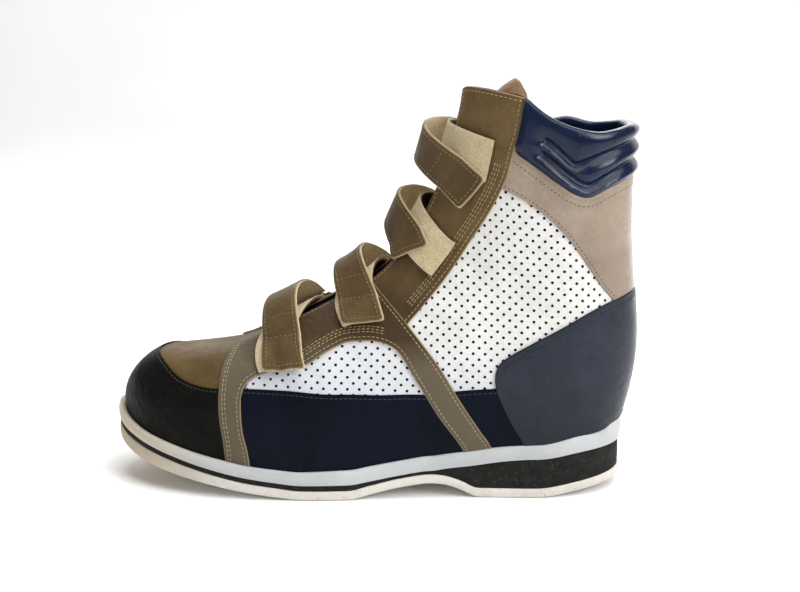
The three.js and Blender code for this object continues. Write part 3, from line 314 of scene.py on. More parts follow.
def fan_sections():
    """Sections of the fan, one for each row of the table."""
    col = {name: FAN_TABLE[:, i] for i, name in enumerate(FAN_COLUMNS)}
    on_sole = col["foot"] > 0
    x = np.where(on_sole, x_at(col["foot"]), HEEL_X + col["bulge"] * HEEL_WIDTH)
    z = np.where(on_sole, bed_height(x) - SINK, col["back"] * BACK_HEIGHT)
    girth = col["girth"] * SHAFT_WIDTH / 2
    outer = np.where(on_sole, plan_half(x, OUTSIDE, SHELL_INSET, HEEL_LEDGE), 0)
    inner = np.where(on_sole, plan_half(x, INSIDE, SHELL_INSET, HEEL_LEDGE), 0)
    shaft = share_along(HEEL_X - SHAFT_DEPTH) + col["fx"] - 0.319
    front = mix(col["fx"], shaft, smooth((col["fz"] - 0.5) / 0.4))
    return np.stack([
        x, z, x_at(front), col["fz"] * FRONT_HEIGHT, outer, inner,
        np.maximum(girth, outer + 1), np.maximum(girth * 0.985, inner + 1),
        col["full"], col["low"], col["top"], middle(x),
    ], axis=-1)


SECTION_ROWS = np.concatenate([toe_sections(np.arange(TOE_ROWS + 1, dtype=float)), fan_sections()])
LAST_ROW = len(SECTION_ROWS) - 1
print("sections", len(SECTION_ROWS), "of which fan rows", len(FAN_TABLE))


def sections_at(s):
    """Sections at any places s, on smooth curves through the rows."""
    s = np.clip(np.atleast_1d(np.asarray(s, float)), 0, LAST_ROW - 1e-6)
    i = np.floor(s).astype(int)
    t = (s - i)[:, None]
    rows = [SECTION_ROWS[np.clip(i + k, 0, LAST_ROW)] for k in (-1, 0, 1, 2)]
    a = (rows[2] - rows[0]) / 2
    b = (rows[3] - rows[1]) / 2
    rise = rows[2] - rows[1]
    curve = rows[1] + t * (a + t * (3 * rise - 2 * a - b + t * (a + b - 2 * rise)))
    on_toe = s < TOE_ROWS
    if on_toe.any():
        curve[on_toe] = toe_sections(s[on_toe])
    return curve


def half_at(rows, v, side):
    """Half widths at share v of the way from the foot point to the front point."""
    at = {name: rows[:, i][:, None] for i, name in enumerate(SECTION_COLUMNS)}
    foot = at["foot_outer"] if side == OUTSIDE else at["foot_inner"]
    widest = at["outer"] if side == OUTSIDE else at["inner"]
    low = mix(foot, widest, round_end(v / at["full"], at["low"]))
    high = widest * round_end((1 - v) / (1 - at["full"]), at["top"])
    depth = v * np.hypot(at["ax"] - at["bx"], at["az"] - at["bz"])
    return np.where(v <= at["full"], low, high) * round_end(depth / 5.0, 2.5)


# %% The skin, as one fine grid with even steps round each section
SKIN_ROWS = 661
SKIN_COLUMNS = 401
ANGLES = 301


def raw_half_row(rows, side):
    """Points of half of each section, from the ridge round to the middle of the underside."""
    angle = np.linspace(0, math.pi, ANGLES)
    v = np.broadcast_to((1 + np.cos(angle)) / 2, (len(rows), ANGLES))
    half = half_at(rows, v, side)
    half[:, 0] = 0
    half[:, -1] = 0
    x = mix(rows[:, 0][:, None], rows[:, 2][:, None], v)
    z = mix(rows[:, 1][:, None], rows[:, 3][:, None], v)
    return np.stack([x, rows[:, 11][:, None] + side * half, z], axis=-1)


def arc_lengths(points):
    steps = np.linalg.norm(np.diff(points, axis=1), axis=2)
    return np.concatenate([np.zeros((len(points), 1)), np.cumsum(steps, axis=1)], axis=1)


def even_half(rows, side):
    """The same points, spread evenly by length, and the half section's length."""
    points = raw_half_row(rows, side)
    arcs = arc_lengths(points)
    lengths = arcs[:, -1]
    count = SKIN_COLUMNS // 2 + 1
    even = np.empty((len(rows), count, 3))
    for i in range(len(rows)):
        places = np.linspace(0, lengths[i], count)
        for axis in range(3):
            even[i, :, axis] = np.interp(places, arcs[i], points[i, :, axis])
    return even, lengths


skin_s = np.linspace(0, LAST_ROW - 1e-6, SKIN_ROWS)
skin_rows = sections_at(skin_s)
outer_half, outer_length = even_half(skin_rows, OUTSIDE)
inner_half, inner_length = even_half(skin_rows, INSIDE)
SKIN = np.concatenate([outer_half[:, :0:-1], inner_half], axis=1)
SKIN[0] = SKIN[0].mean(axis=0)


def skin_normals(grid):
    """Outward normals of the grid, whose first and last columns are the same line."""
    along = np.gradient(grid, axis=0)
    wide = np.concatenate([grid[:, -3:-1], grid, grid[:, 1:3]], axis=1)
    round_ = np.gradient(wide, axis=1)[:, 2:-2]
    along[0] = along[1]
    normal = np.cross(round_, along)
    size = np.linalg.norm(normal, axis=2, keepdims=True)
    normal = normal / np.maximum(size, 1e-9)
    if normal[SKIN_ROWS // 2, SKIN_COLUMNS // 4, 1] > 0:
        normal = -normal
    normal[0] = (-1, 0, 0)
    return normal


# %% [markdown]
# ## Creases
# Leather that has been walked in folds where the foot bends: across the ball, in front of the
# ankle and above the counter. Each main crease is placed as a soft trough, with a low
# ridge beside it, on a bowed line in the side view.

# %% Creases, placed one by one
# Ends of a crease as shares of the length and the front height, then its bow, half width and
# depth in millimetres (a ridge is positive), and its side (0 is both).
CREASES = [
    (0.668, 0.395, 0.618, 0.262, 3.0, 3.6, -0.60, 0),
    (0.651, 0.400, 0.598, 0.270, 3.0, 3.2, 0.30, 0),
    (0.630, 0.412, 0.585, 0.300, 2.5, 3.4, -0.45, OUTSIDE),
    (0.622, 0.405, 0.566, 0.282, 2.0, 3.2, -0.50, INSIDE),
    (0.712, 0.368, 0.690, 0.300, 1.5, 3.0, -0.35, 0),
    (0.735, 0.362, 0.728, 0.318, -1.5, 3.0, -0.35, 0),
    (0.795, 0.352, 0.780, 0.300, 2.0, 3.4, -0.30, OUTSIDE),
    (0.455, 0.470, 0.300, 0.392, -4.0, 4.2, -0.60, OUTSIDE),
    (0.450, 0.492, 0.310, 0.425, -4.0, 3.4, 0.30, OUTSIDE),
    (0.425, 0.545, 0.290, 0.475, -3.0, 4.0, -0.50, 0),
    (0.450, 0.460, 0.320, 0.372, -4.0, 4.2, -0.60, INSIDE),
    (0.395, 0.610, 0.300, 0.580, -2.0, 3.8, -0.35, OUTSIDE),
    (0.120, 0.610, -0.040, 0.640, 3.0, 4.0, -0.45, OUTSIDE),
    (0.100, 0.585, -0.040, 0.612, 3.0, 3.4, 0.25, 0),
    (0.105, 0.560, -0.040, 0.578, 2.0, 4.0, -0.45, INSIDE),
    (0.150, 0.300, 0.080, 0.420, 3.0, 5.0, -0.30, OUTSIDE),
    (0.500, 0.245, 0.395, 0.165, 3.0, 5.0, -0.35, OUTSIDE),
    (0.640, 0.245, 0.560, 0.150, 4.0, 5.5, -0.40, 0),
]


def creased(grid):
    """The grid with the creases pressed in along its normals."""
    height = np.zeros(grid.shape[:2])
    x, y, z = grid[..., 0], grid[..., 1], grid[..., 2]
    for from_along, from_up, to_along, to_up, bow, wide, deep, side in CREASES:
        start_x, start_z = x_at(from_along), from_up * FRONT_HEIGHT
        way_x, way_z = x_at(to_along) - start_x, to_up * FRONT_HEIGHT - start_z
        length = math.hypot(way_x, way_z)
        share = ((x - start_x) * way_x + (z - start_z) * way_z) / length ** 2
        off = ((x - start_x) * way_z - (z - start_z) * way_x) / length
        off = off - bow * 4 * share * (1 - share)
        ends = smooth(share * 3.5) * smooth((1 - share) * 3.5)
        on_side = 1.0 if side == 0 else smooth(y * side / 6.0)
        height += deep * np.exp(-(off / wide) ** 2) * ends * on_side
    print("creases", len(CREASES), "heights", round(height.min(), 2), round(height.max(), 2))
    return grid + skin_normals(grid) * height[..., None]


SKIN = creased(SKIN)
SKIN_NORMAL = skin_normals(SKIN)


def between_cells(grid, row, column):
    """Value of a grid at a row and column that may lie between its cells."""
    i = np.minimum(row.astype(int), grid.shape[0] - 2)
    j = np.minimum(column.astype(int), grid.shape[1] - 2)
    a = (row - i).reshape(row.shape + (1,) * (grid.ndim - 2))
    b = (column - j).reshape(column.shape + (1,) * (grid.ndim - 2))
    return mix(mix(grid[i, j], grid[i, j + 1], b), mix(grid[i + 1, j], grid[i + 1, j + 1], b), a)


def grid_at(grid, s, g):
    """Value of a grid over the skin at places s and g."""
    row = np.clip(np.asarray(s, float) / (LAST_ROW - 1e-6), 0, 1) * (SKIN_ROWS - 1)
    column = ((np.asarray(g, float) + 1) % 2) / 2 * (SKIN_COLUMNS - 1)
    return between_cells(grid, row, column)


def girth_at(s, side):
    """Length from the ridge to the middle of the underside, on one side."""
    lengths = outer_length if side == OUTSIDE else inner_length
    return np.interp(s, skin_s, lengths)


def skin_point(s, g, lift=0.0):
    """Points lifted off the skin along its normal."""
    normal = grid_at(SKIN_NORMAL, s, g)
    normal = normal / np.maximum(np.linalg.norm(normal, axis=-1, keepdims=True), 1e-9)
    return grid_at(SKIN, s, g) + normal * np.asarray(lift, float)[..., None]


def on_skin(line, lift=0.0):
    """Points in space of a line of skin places."""
    return skin_point(line[:, 0], line[:, 1], lift)


print("skin grid", SKIN.shape, "from", SKIN.min((0, 1)).round(1), "to", SKIN.max((0, 1)).round(1))

# %% [markdown]
# ## From numbers to meshes
# Each piece is worked out as arrays of points in millimetres.

# %% Mesh helpers
SHARP_ANGLE = math.radians(38)


def new_object(name, points, faces, material, merge=0.0):
    """A mesh object from points in millimetres; quads, triangles or polygons."""
    mesh = bpy.data.meshes.new(name)
    faces = [tuple(int(i) for i in face) for face in faces]
    mesh.from_pydata((np.asarray(points, float) * MM).tolist(), [], faces)
    mesh.validate()
    if merge:
        shell = bmesh.new()
        shell.from_mesh(mesh)
        bmesh.ops.remove_doubles(shell, verts=shell.verts, dist=merge * MM)
        bmesh.ops.dissolve_degenerate(shell, edges=shell.edges, dist=1e-7)
        bmesh.ops.recalc_face_normals(shell, faces=shell.faces)
        shell.to_mesh(mesh)
        shell.free()
    mesh.shade_smooth()
    mesh.set_sharp_from_angle(angle=SHARP_ANGLE)
    mesh.materials.append(material)
    piece = bpy.data.objects.new(name, mesh)
    bpy.context.scene.collection.objects.link(piece)
    return piece


def declare(piece, slot, *nodes):
    """The frame's facts of a piece: it rides on the boot and hides its solids; the slot of its finish is not
    used.
    """
    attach(piece, BODY)
    if nodes:
        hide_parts(*nodes)
    print(piece.name, len(piece.data.polygons), "faces")
    return piece


def loft_object(name, rings, material, merge=0.0, cyclic=False):
    """A closed solid from rings of points: a ring itself where cyclic, otherwise with flat caps."""
    rings = np.asarray(rings, float)
    rows, columns = rings.shape[:2]
    faces = []
    for i in range(rows if cyclic else rows - 1):
        a, b = i * columns, (i + 1) % rows * columns
        for j in range(columns):
            k = (j + 1) % columns
            faces.append((a + j, a + k, b + k, b + j))
    if not cyclic:
        faces.append(tuple(range(columns))[::-1])
        faces.append(tuple(range((rows - 1) * columns, rows * columns)))
    return new_object(name, rings.reshape(-1, 3), faces, material, merge)


def smooth_line(points, step):
    """Points at even steps on a smooth open curve through the given ones."""
    points = np.asarray(points, float)
    ghost = np.concatenate([[2 * points[0] - points[1]], points, [2 * points[-1] - points[-2]]])
    fine = []
    for i in range(len(points) - 1):
        p0, p1, p2, p3 = ghost[i:i + 4]
        t1 = max(np.linalg.norm(p1 - p0), 1e-6) ** 0.5
        t2 = t1 + max(np.linalg.norm(p2 - p1), 1e-6) ** 0.5
        t3 = t2 + max(np.linalg.norm(p3 - p2), 1e-6) ** 0.5
        t = np.linspace(t1, t2, 14, endpoint=False)[:, None]
        a1 = (t1 - t) / t1 * p0 + t / t1 * p1
        a2 = (t2 - t) / (t2 - t1) * p1 + (t - t1) / (t2 - t1) * p2
        a3 = (t3 - t) / (t3 - t2) * p2 + (t - t2) / (t3 - t2) * p3
        b1 = (t2 - t) / t2 * a1 + t / t2 * a2
        b2 = (t3 - t) / (t3 - t1) * a2 + (t - t1) / (t3 - t1) * a3
        fine.append((t2 - t) / (t2 - t1) * b1 + (t - t1) / (t2 - t1) * b2)
    return even_line(np.concatenate(fine + [points[-1:]]), step)


def even_line(points, step):
    """The same line with its points at even steps."""
    arc = distances(points)
    count = max(2, int(round(arc[-1] / step)) + 1)
    places = np.linspace(0, arc[-1], count)
    return np.stack([np.interp(places, arc, points[:, k]) for k in range(points.shape[1])], axis=1)

# %% [markdown]
# ## Leather panels
# A panel is cut flat, so it needs a flat chart of the skin: near the front the chart is
# unrolled from the ridge, round the heel from the back line, and at the toe it is a fan about
# the toe's tip. The outline is filled with triangles in the chart, laid on the skin and given
# its thickness, with a rounded cut edge. This keeps every edge crisp, as a knife leaves it.

# %% Charts of the skin
ROW_PITCH = 9.0  # millimetres of chart for each section
TOE_PITCH = 4.5


def girths(s, g):
    return np.where(np.asarray(g) < 0, girth_at(s, OUTSIDE), girth_at(s, INSIDE))


def wrap(g):
    """Shares of the way round, brought back between -1 and 1."""
    return (np.asarray(g, float) + 1) % 2 - 1


def chart_xy(s, g, chart):
    """Flat chart of skin places, in millimetres."""
    if chart == "toe":
        return np.stack([TOE_PITCH * s * np.cos(math.pi * g), TOE_PITCH * s * np.sin(math.pi * g)], axis=-1)
    y = g * girths(s, g)
    if chart == "back":
        y = np.where(g < 0, g + 1, g - 1) * girths(s, g)
    return np.stack([ROW_PITCH * s, y], axis=-1)


def chart_sg(xy, chart):
    """Skin places of chart points."""
    x, y = xy[:, 0], xy[:, 1]
    if chart == "toe":
        return np.hypot(x, y) / TOE_PITCH, np.arctan2(y, x) / math.pi
    s = x / ROW_PITCH
    if chart == "back":
        return s, np.where(y >= 0, y / girth_at(s, OUTSIDE) - 1, 1 + y / girth_at(s, INSIDE))
    return s, np.where(y < 0, y / girth_at(s, OUTSIDE), y / girth_at(s, INSIDE))


# %% Lines on the skin
FIRST_LINE = 3  # the first rows are too short to be used as lines


def side_to_skin(points, side):
    """Skin places of side view points [x, z], on one side of the boot."""
    points = np.asarray(points, float)
    bx, bz, ax, az = (skin_rows[FIRST_LINE:, i][None, :] for i in range(4))
    cross = (ax - bx) * (points[:, 1:2] - bz) - (az - bz) * (points[:, 0:1] - bx)
    flips = cross[:, 1:] * cross[:, :-1] <= 0
    beyond = np.where(np.abs(cross[:, 0]) < np.abs(cross[:, -1]), 0, cross.shape[1] - 2)
    i = np.where(flips.any(axis=1), flips.argmax(axis=1), beyond)
    c0 = cross[np.arange(len(points)), i]
    c1 = cross[np.arange(len(points)), i + 1]
    t = np.clip(c0 / np.where(c0 == c1, 1, c0 - c1), 0, 1)
    s = mix(skin_s[i + FIRST_LINE], skin_s[i + 1 + FIRST_LINE], t)
    rows = sections_at(s)
    ahead = rows[:, 2:4] - rows[:, 0:2]
    v = np.clip(((points - rows[:, 0:2]) * ahead).sum(axis=1) / (ahead ** 2).sum(axis=1), 0, 1)
    half = raw_half_row(rows, side)
    arcs = arc_lengths(half)
    angle = np.linspace(0, math.pi, ANGLES)
    share = np.array([np.interp(math.acos(2 * v[k] - 1), angle, arcs[k]) / arcs[k, -1]
                      for k in range(len(points))])
    return np.stack([s, side * share], axis=1)


def plan_to_skin(points):
    """Skin places of plan view points [x, y], on the top of the foot."""
    grid = SKIN[::3, ::3].reshape(-1, 3)
    up = SKIN_NORMAL[::3, ::3].reshape(-1, 3)[:, 2] > 0.15
    s_grid, g_grid = np.meshgrid(skin_s[::3], np.linspace(-1, 1, SKIN_COLUMNS)[::3], indexing="ij")
    s_flat, g_flat = s_grid.ravel()[up], g_grid.ravel()[up]
    grid = grid[up]
    places = []
    for x, y in np.asarray(points, float):
        k = ((grid[:, 0] - x) ** 2 + (grid[:, 1] - y) ** 2).argmin()
        s, g = s_flat[k], g_flat[k]
        for _ in range(4):
            here = skin_point(np.array([s, s + 0.05, s]), np.array([g, g, g + 0.01]))
            ds = (here[1] - here[0])[:2] / 0.05
            dg = (here[2] - here[0])[:2] / 0.01
            off = np.array([x, y]) - here[0, :2]
            step = np.linalg.lstsq(np.stack([ds, dg], axis=1), off, rcond=None)[0]
            s, g = s + np.clip(step[0], -0.3, 0.3), g + np.clip(step[1], -0.05, 0.05)
        places.append((s, g))
    return np.array(places)


def shares(pairs):
    """Side view points in millimetres from shares of the sole length and the front height."""
    return np.array([(x_at(a), u * FRONT_HEIGHT) for a, u in pairs])


TRACE_STEP = 1.7


def trace(pairs, side):
    """A smooth line on one side of the boot, through side view points given in shares."""
    return side_to_skin(smooth_line(shares(pairs), TRACE_STEP), side)


TUCK = 0.9  # the leather ends this far under the top of the sole


def bed_shares(side):
    """For each skin row, where its line meets the top of the sole, just under its surface."""
    middle_column = SKIN_COLUMNS // 2
    grid = SKIN[:, middle_column::-1] if side == OUTSIDE else SKIN[:, middle_column:]
    over = grid[:, :, 2] - bed_height(grid[:, :, 0]) + TUCK
    share = np.ones(SKIN_ROWS)
    for i in range(SKIN_ROWS):
        under = np.where(over[i] < 0)[0]
        if len(under) and under[0] > 0:
            k = under[0]
            share[i] = (k - 1 + over[i, k - 1] / (over[i, k - 1] - over[i, k])) / middle_column
    return share


BED_SHARE = {OUTSIDE: bed_shares(OUTSIDE), INSIDE: bed_shares(INSIDE)}


def bed_at(s, side):
    """Share of the way round at which a section meets the sole."""
    return np.interp(s, skin_s, BED_SHARE[side])


def row_steps(s_from, s_to, step):
    """Sections at even steps between two sections."""
    return np.linspace(s_from, s_to, max(3, int(abs(s_to - s_from) / step) + 1))


def bed_line(s_from, s_to, side):
    """The line where the upper meets the sole, between two sections."""
    s = row_steps(s_from, s_to, 0.12)
    return np.stack([s, side * bed_at(s, side)], axis=1)


def throat_line(s_from, s_to, side):
    """The throat's edge, at half its width from the ridge."""
    s = row_steps(s_from, s_to, 0.2)
    return np.stack([s, side * (THROAT_WIDTH / 2) / girth_at(s, side)], axis=1)


DOUBLED = 0.45  # points closer than this count as one, in millimetres


def joined(*lines):
    """One outline from several lines, without doubled points."""
    points = np.concatenate(lines)
    place = on_skin(points)
    return points[np.linalg.norm(place - np.roll(place, 1, axis=0), axis=1) > DOUBLED]


def skin_steps(s, g):
    """How the skin runs along s and along g, in millimetres for each unit."""
    ds = (skin_point(s + 0.03, g) - skin_point(s - 0.03, g)) / 0.06
    dg = (skin_point(s, g + 0.003) - skin_point(s, g - 0.003)) / 0.006
    return ds, dg


def moved_sideways(line, distance, closed):
    """A line on the skin moved to its left by a distance in millimetres."""
    s, g = line[:, 0], line[:, 1]
    place = skin_point(s, g)
    tangent = np.gradient(place, axis=0)
    if closed:
        tangent = np.roll(place, -1, axis=0) - np.roll(place, 1, axis=0)
    normal = skin_point(s, g, 1.0) - place
    left = np.cross(normal, tangent)
    left /= np.maximum(np.linalg.norm(left, axis=1, keepdims=True), 1e-9)
    ds, dg = skin_steps(s, g)
    aa, ab, bb = (ds * ds).sum(1), (ds * dg).sum(1), (dg * dg).sum(1)
    wa, wb = (left * ds).sum(1) * distance, (left * dg).sum(1) * distance
    det = np.maximum(aa * bb - ab * ab, 1e-6)
    return np.stack([s + (wa * bb - wb * ab) / det, g + (wb * aa - wa * ab) / det], axis=1)


# %% Filling an outline
def inside_outline(points, outline):
    """Which points lie inside a closed outline, by counting crossings."""
    x, y = points[:, 0:1], points[:, 1:2]
    x0, y0 = outline[:, 0][None], outline[:, 1][None]
    x1, y1 = np.roll(outline[:, 0], -1)[None], np.roll(outline[:, 1], -1)[None]
    spans = (y0 > y) != (y1 > y)
    at = x0 + (y - y0) * (x1 - x0) / np.where(y1 == y0, 1e-9, y1 - y0)
    return (spans & (x < at)).sum(axis=1) % 2 == 1


def nearest(points, targets):
    """Distance of each point to the nearest target, worked in slices to save memory."""
    best = np.empty(len(points))
    for i in range(0, len(points), 2000):
        part = points[i:i + 2000, None, :] - targets[None]
        best[i:i + 2000] = np.sqrt((part ** 2).sum(axis=2)).min(axis=1)
    return best


def inner_points(outline, chart, spacing, keep_off):
    """Points inside an outline at about even steps on the skin, off its edge."""
    flat = chart_xy(outline[:, 0], outline[:, 1], chart)
    low, high = flat.min(axis=0), flat.max(axis=0)
    ds, _ = skin_steps(outline[:, 0], outline[:, 1])
    stretch = np.median(np.linalg.norm(ds, axis=1)) / (TOE_PITCH if chart == "toe" else ROW_PITCH)
    xs = np.arange(low[0], high[0], spacing / max(stretch, 0.5))
    ys = np.arange(low[1], high[1], spacing)
    grid = np.stack(np.meshgrid(xs, ys, indexing="ij"), axis=-1)
    grid[1::2, :, 1] += spacing / 2
    grid = grid.reshape(-1, 2)
    grid = grid[inside_outline(grid, flat)]
    s, g = chart_sg(grid, chart)
    edge = skin_point(outline[:, 0], wrap(outline[:, 1]))
    far = nearest(skin_point(s, g), edge)
    return np.stack([s, g], axis=1)[far > keep_off]


# %% Panels with their thickness
EDGE_RADIUS = 0.45
GROOVE_WIDTH = 0.9
EDGE_FADE = 7.0  # the `edge` attribute reaches 1 this far inside the cut edge
HOLE_SIDES = 8


def with_edge(piece, values):
    """The piece with its `edge` attribute, which the finishes read."""
    layer = piece.data.attributes.new("edge", "FLOAT", "POINT")
    layer.data.foreach_set("value", values.astype(np.float32))
    return piece


def solid_panel(name, s, g, faces, low, high, material, edge=None):
    """A closed solid from a filled patch of skin, between two lifts."""
    s, g = np.asarray(s, float), wrap(g)
    count = len(s)
    points = np.concatenate([skin_point(s, g, high), skin_point(s, g, low)])
    corner = skin_point(s, g)
    faces = [tuple(face) for face in faces]
    first = np.array(faces[:400])
    turn = np.cross(corner[first[:, 1]] - corner[first[:, 0]], corner[first[:, 2]] - corner[first[:, 0]])
    if (turn * (points[:count] - points[count:])[first[:, 0]]).sum() < 0:
        faces = [face[::-1] for face in faces]
    sides = {}
    for face in faces:
        for a, b in zip(face, face[1:] + face[:1]):
            if (b, a) in sides:
                del sides[(b, a)]
            else:
                sides[(a, b)] = True
    under = [tuple(i + count for i in face[::-1]) for face in faces]
    walls = [(b, a, a + count, b + count) for a, b in sides]
    piece = new_object(name, points, faces + under + walls, material)
    near = np.ones(count) if edge is None else edge
    return with_edge(piece, np.concatenate([near, near * 0]))


def panel(name, outline, chart, low, high, material, spacing=3.2, holes=(), hole_radius=0.8,
          groove=0.0, groove_at=2.3):
    """A leather panel from a closed outline of skin places."""
    flat = chart_xy(outline[:, 0], outline[:, 1], chart)
    place = skin_point(outline[:, 0], wrap(outline[:, 1]))
    probe = moved_sideways(outline, 0.6, True)
    inside = inside_outline(chart_xy(probe[:, 0], wrap(probe[:, 1]), chart), flat).mean() > 0.5
    inward = 1 if inside else -1
    # Rings inside the outline, each at a distance from the edge and a lift: the rounded edge, the groove.
    profile = [(0.0, high - EDGE_RADIUS), (EDGE_RADIUS * 0.3, high - EDGE_RADIUS * 0.29), (EDGE_RADIUS, high)]
    if groove:
        profile += [(groove_at - GROOVE_WIDTH, high), (groove_at, high - groove)]
        profile += [(groove_at + GROOVE_WIDTH, high)]
    s_all, g_all, lifts, edges = [], [], [], []
    start = 0
    for distance, lift in profile:
        ring, closed = outline, True
        if distance > 0:
            ring = moved_sideways(outline, inward * distance, True)
            far = nearest(skin_point(ring[:, 0], wrap(ring[:, 1])), place)
            keep = inside_outline(chart_xy(ring[:, 0], wrap(ring[:, 1]), chart), flat)
            keep &= far > distance * 0.75
            ring, closed = ring[keep], keep.all()
        count = len(ring)
        s_all.append(ring[:, 0])
        g_all.append(wrap(ring[:, 1]))
        lifts.append(np.full(count, lift))
        if closed:
            edges += [(start + i, start + (i + 1) % count) for i in range(count)]
        start += count
    # Each hole is eight points on a circle in the skin's own plane.
    hole_rings = []
    for s, g in holes:
        ds, dg = (step.ravel() for step in skin_steps(np.array([s]), np.array([g])))
        way = ds / np.linalg.norm(ds)
        square = dg - way * (dg @ way)
        angle = np.arange(HOLE_SIDES) * 2 * math.pi / HOLE_SIDES
        around = hole_radius * np.sin(angle) / np.linalg.norm(square)
        along = (hole_radius * np.cos(angle) - around * (dg @ way)) / np.linalg.norm(ds)
        s_all.append(s + along)
        g_all.append(g + around)
        lifts.append(np.full(HOLE_SIDES, high))
        edges += [(start + i, start + (i + 1) % HOLE_SIDES) for i in range(HOLE_SIDES)]
        hole_rings.append(start)
        start += HOLE_SIDES
    inner = inner_points(outline, chart, spacing, profile[-1][0] + spacing * 0.45)
    if len(holes):
        inner = inner[nearest(on_skin(inner), on_skin(holes)) > hole_radius * 1.9]
    s_all.append(inner[:, 0])
    g_all.append(inner[:, 1])
    lifts.append(np.full(len(inner), high))
    s_all, g_all, lifts = np.concatenate(s_all), np.concatenate(g_all), np.concatenate(lifts)
    xy = chart_xy(s_all, g_all, chart)
    filled = delaunay_2d_cdt([Vector(p) for p in xy], edges, [], 0, 1e-5, True)
    new_xy = np.array([(p.x, p.y) for p in filled[0]])
    triangles = np.array(filled[2])
    centres = new_xy[triangles].mean(axis=1)
    keep = inside_outline(centres, flat)
    for first, (s, g) in zip(hole_rings, holes):
        centre = chart_xy(s, g, chart)
        quarter = xy[[first, first + HOLE_SIDES // 4]] - centre
        off = (centres - centre) @ np.linalg.inv(quarter)
        keep &= (off ** 2).sum(axis=1) > 0.8
    used, flat_index = np.unique(triangles[keep], return_inverse=True)
    source = np.array([filled[3][i][0] if filled[3][i] else -1 for i in used])
    s, g = chart_sg(new_xy[used], chart)
    known = source >= 0
    s[known], g[known] = s_all[source[known]], g_all[source[known]]
    tops = np.where(known, lifts[source], high - EDGE_RADIUS * 0.5)
    edge = np.clip(nearest(skin_point(s, g), place) / EDGE_FADE, 0, 1)
    return solid_panel(name, s, g, flat_index.reshape(-1, 3).tolist(), low, tops, material, edge)

# %% Closure frames
# A closure is placed across the ridge: `shift` runs along the ridge, `girth` round the foot
# (outer side negative) and `lift` off the skin.
SHIFT_REACH = 34
SHIFT_STEPS = 35
GIRTH_REACH = 78
GIRTH_STEPS = 105
ROWS_NEAR = 8.5  # sections on each side of a closure that its table covers


def closure_frame(row):
    """Tables of s and g over shift and girth for one closure."""
    behind, centre, ahead = skin_point(np.array([row - 0.5, row, row + 0.5]), np.zeros(3))
    along = ahead - behind
    along[1] = 0
    along /= np.linalg.norm(along)
    near = np.abs(skin_s - row) < ROWS_NEAR
    grid = SKIN[near]
    rows = skin_s[near]
    shares = np.linspace(-1, 1, SKIN_COLUMNS)
    columns = np.where(np.abs(shares) < 0.72)[0]
    girths = np.linspace(-GIRTH_REACH, GIRTH_REACH, GIRTH_STEPS)
    s_table = np.empty((SHIFT_STEPS, GIRTH_STEPS))
    g_table = np.empty((SHIFT_STEPS, GIRTH_STEPS))
    for k, shift in enumerate(np.linspace(-SHIFT_REACH, SHIFT_REACH, SHIFT_STEPS)):
        s_line = np.array([np.interp(shift, (grid[:, j] - centre) @ along, rows) for j in columns])
        arc = distances(skin_point(s_line, shares[columns]))
        arc -= np.interp(0, shares[columns], arc)
        s_table[k] = np.interp(girths, arc, s_line)
        g_table[k] = np.interp(girths, arc, shares[columns])
    return {"s": s_table, "g": g_table}


def table_at(table, shift, girth):
    """Value of one of a closure's tables."""
    row = np.clip((shift + SHIFT_REACH) / (2 * SHIFT_REACH), 0, 1) * (SHIFT_STEPS - 1)
    column = np.clip((girth + GIRTH_REACH) / (2 * GIRTH_REACH), 0, 1) * (GIRTH_STEPS - 1)
    return between_cells(table, row, column)


def closure_point(frame_, shift, girth, lift):
    """Points in space of places in a closure's frame."""
    s = table_at(frame_["s"], shift, girth)
    g = table_at(frame_["g"], shift, girth)
    return skin_point(s, g, lift)

# %% [markdown]
# ## Finishes
# Each finish starts from the real stuff and how its surface was made. Colours are sRGB hex
# values turned to linear by one function. Patterns read Object coordinates, which are metres,
# so a grain of 0.8 mm is a Voronoi scale of 1 / 0.0008. The panels also carry an `edge`
# attribute, 0 at the cut edge and 1 some millimetres inside, which drives the wear there.

# %% Colour and node helpers
def linear(hex_colour):
    """Linear colour of an sRGB hex value."""
    parts = [int(hex_colour[i:i + 2], 16) / 255 for i in (1, 3, 5)]
    return [p / 12.92 if p <= 0.04045 else ((p + 0.055) / 1.055) ** 2.4 for p in parts] + [1.0]


def add(tree, kind, sockets=None, **settings):
    """A node with its settings; each socket takes a value or a link."""
    node = tree.nodes.new(kind)
    for key, value in settings.items():
        setattr(node, key, value)
    for key, value in (sockets or {}).items():
        if isinstance(value, bpy.types.NodeSocket):
            tree.links.new(value, node.inputs[key])
        else:
            node.inputs[key].default_value = value
    return node


def per_mm(size):
    """Texture scale whose pattern repeats every `size` millimetres."""
    return 1 / (size * MM)


MIX_A, MIX_B, MIXED = 6, 7, 2  # the colour sockets of a Mix node, in and out


def new_finish(name, sockets, marks):
    """A material with its shader and its cloudy patterns; constants are set on the shader itself.

    A mark holds its size in millimetres, detail, roughness and distortion, then the values of the
    noise where it starts and is full, and where these aren't 0 and 1, what it gives there.
    """
    finish = bpy.data.materials.new(name)
    finish.use_nodes = True
    tree = finish.node_tree
    shader = tree.nodes["Principled BSDF"]
    for key, value in sockets.items():
        shader.inputs[key].default_value = value
    place = add(tree, "ShaderNodeTexCoord").outputs["Object"]
    clouds = []
    for size, detail, roughness, twist, low, high, *gives in marks:
        cloud = add(tree, "ShaderNodeTexNoise", {
            "Vector": place, "Scale": per_mm(size), "Detail": detail, "Roughness": roughness,
            "Distortion": twist})
        clouds.append(add(tree, "ShaderNodeMapRange", {
            "Value": cloud.outputs[0], "From Min": low, "From Max": high,
            **dict(zip(("To Min", "To Max"), gives))}).outputs[0])
    return finish, tree, shader, place, clouds


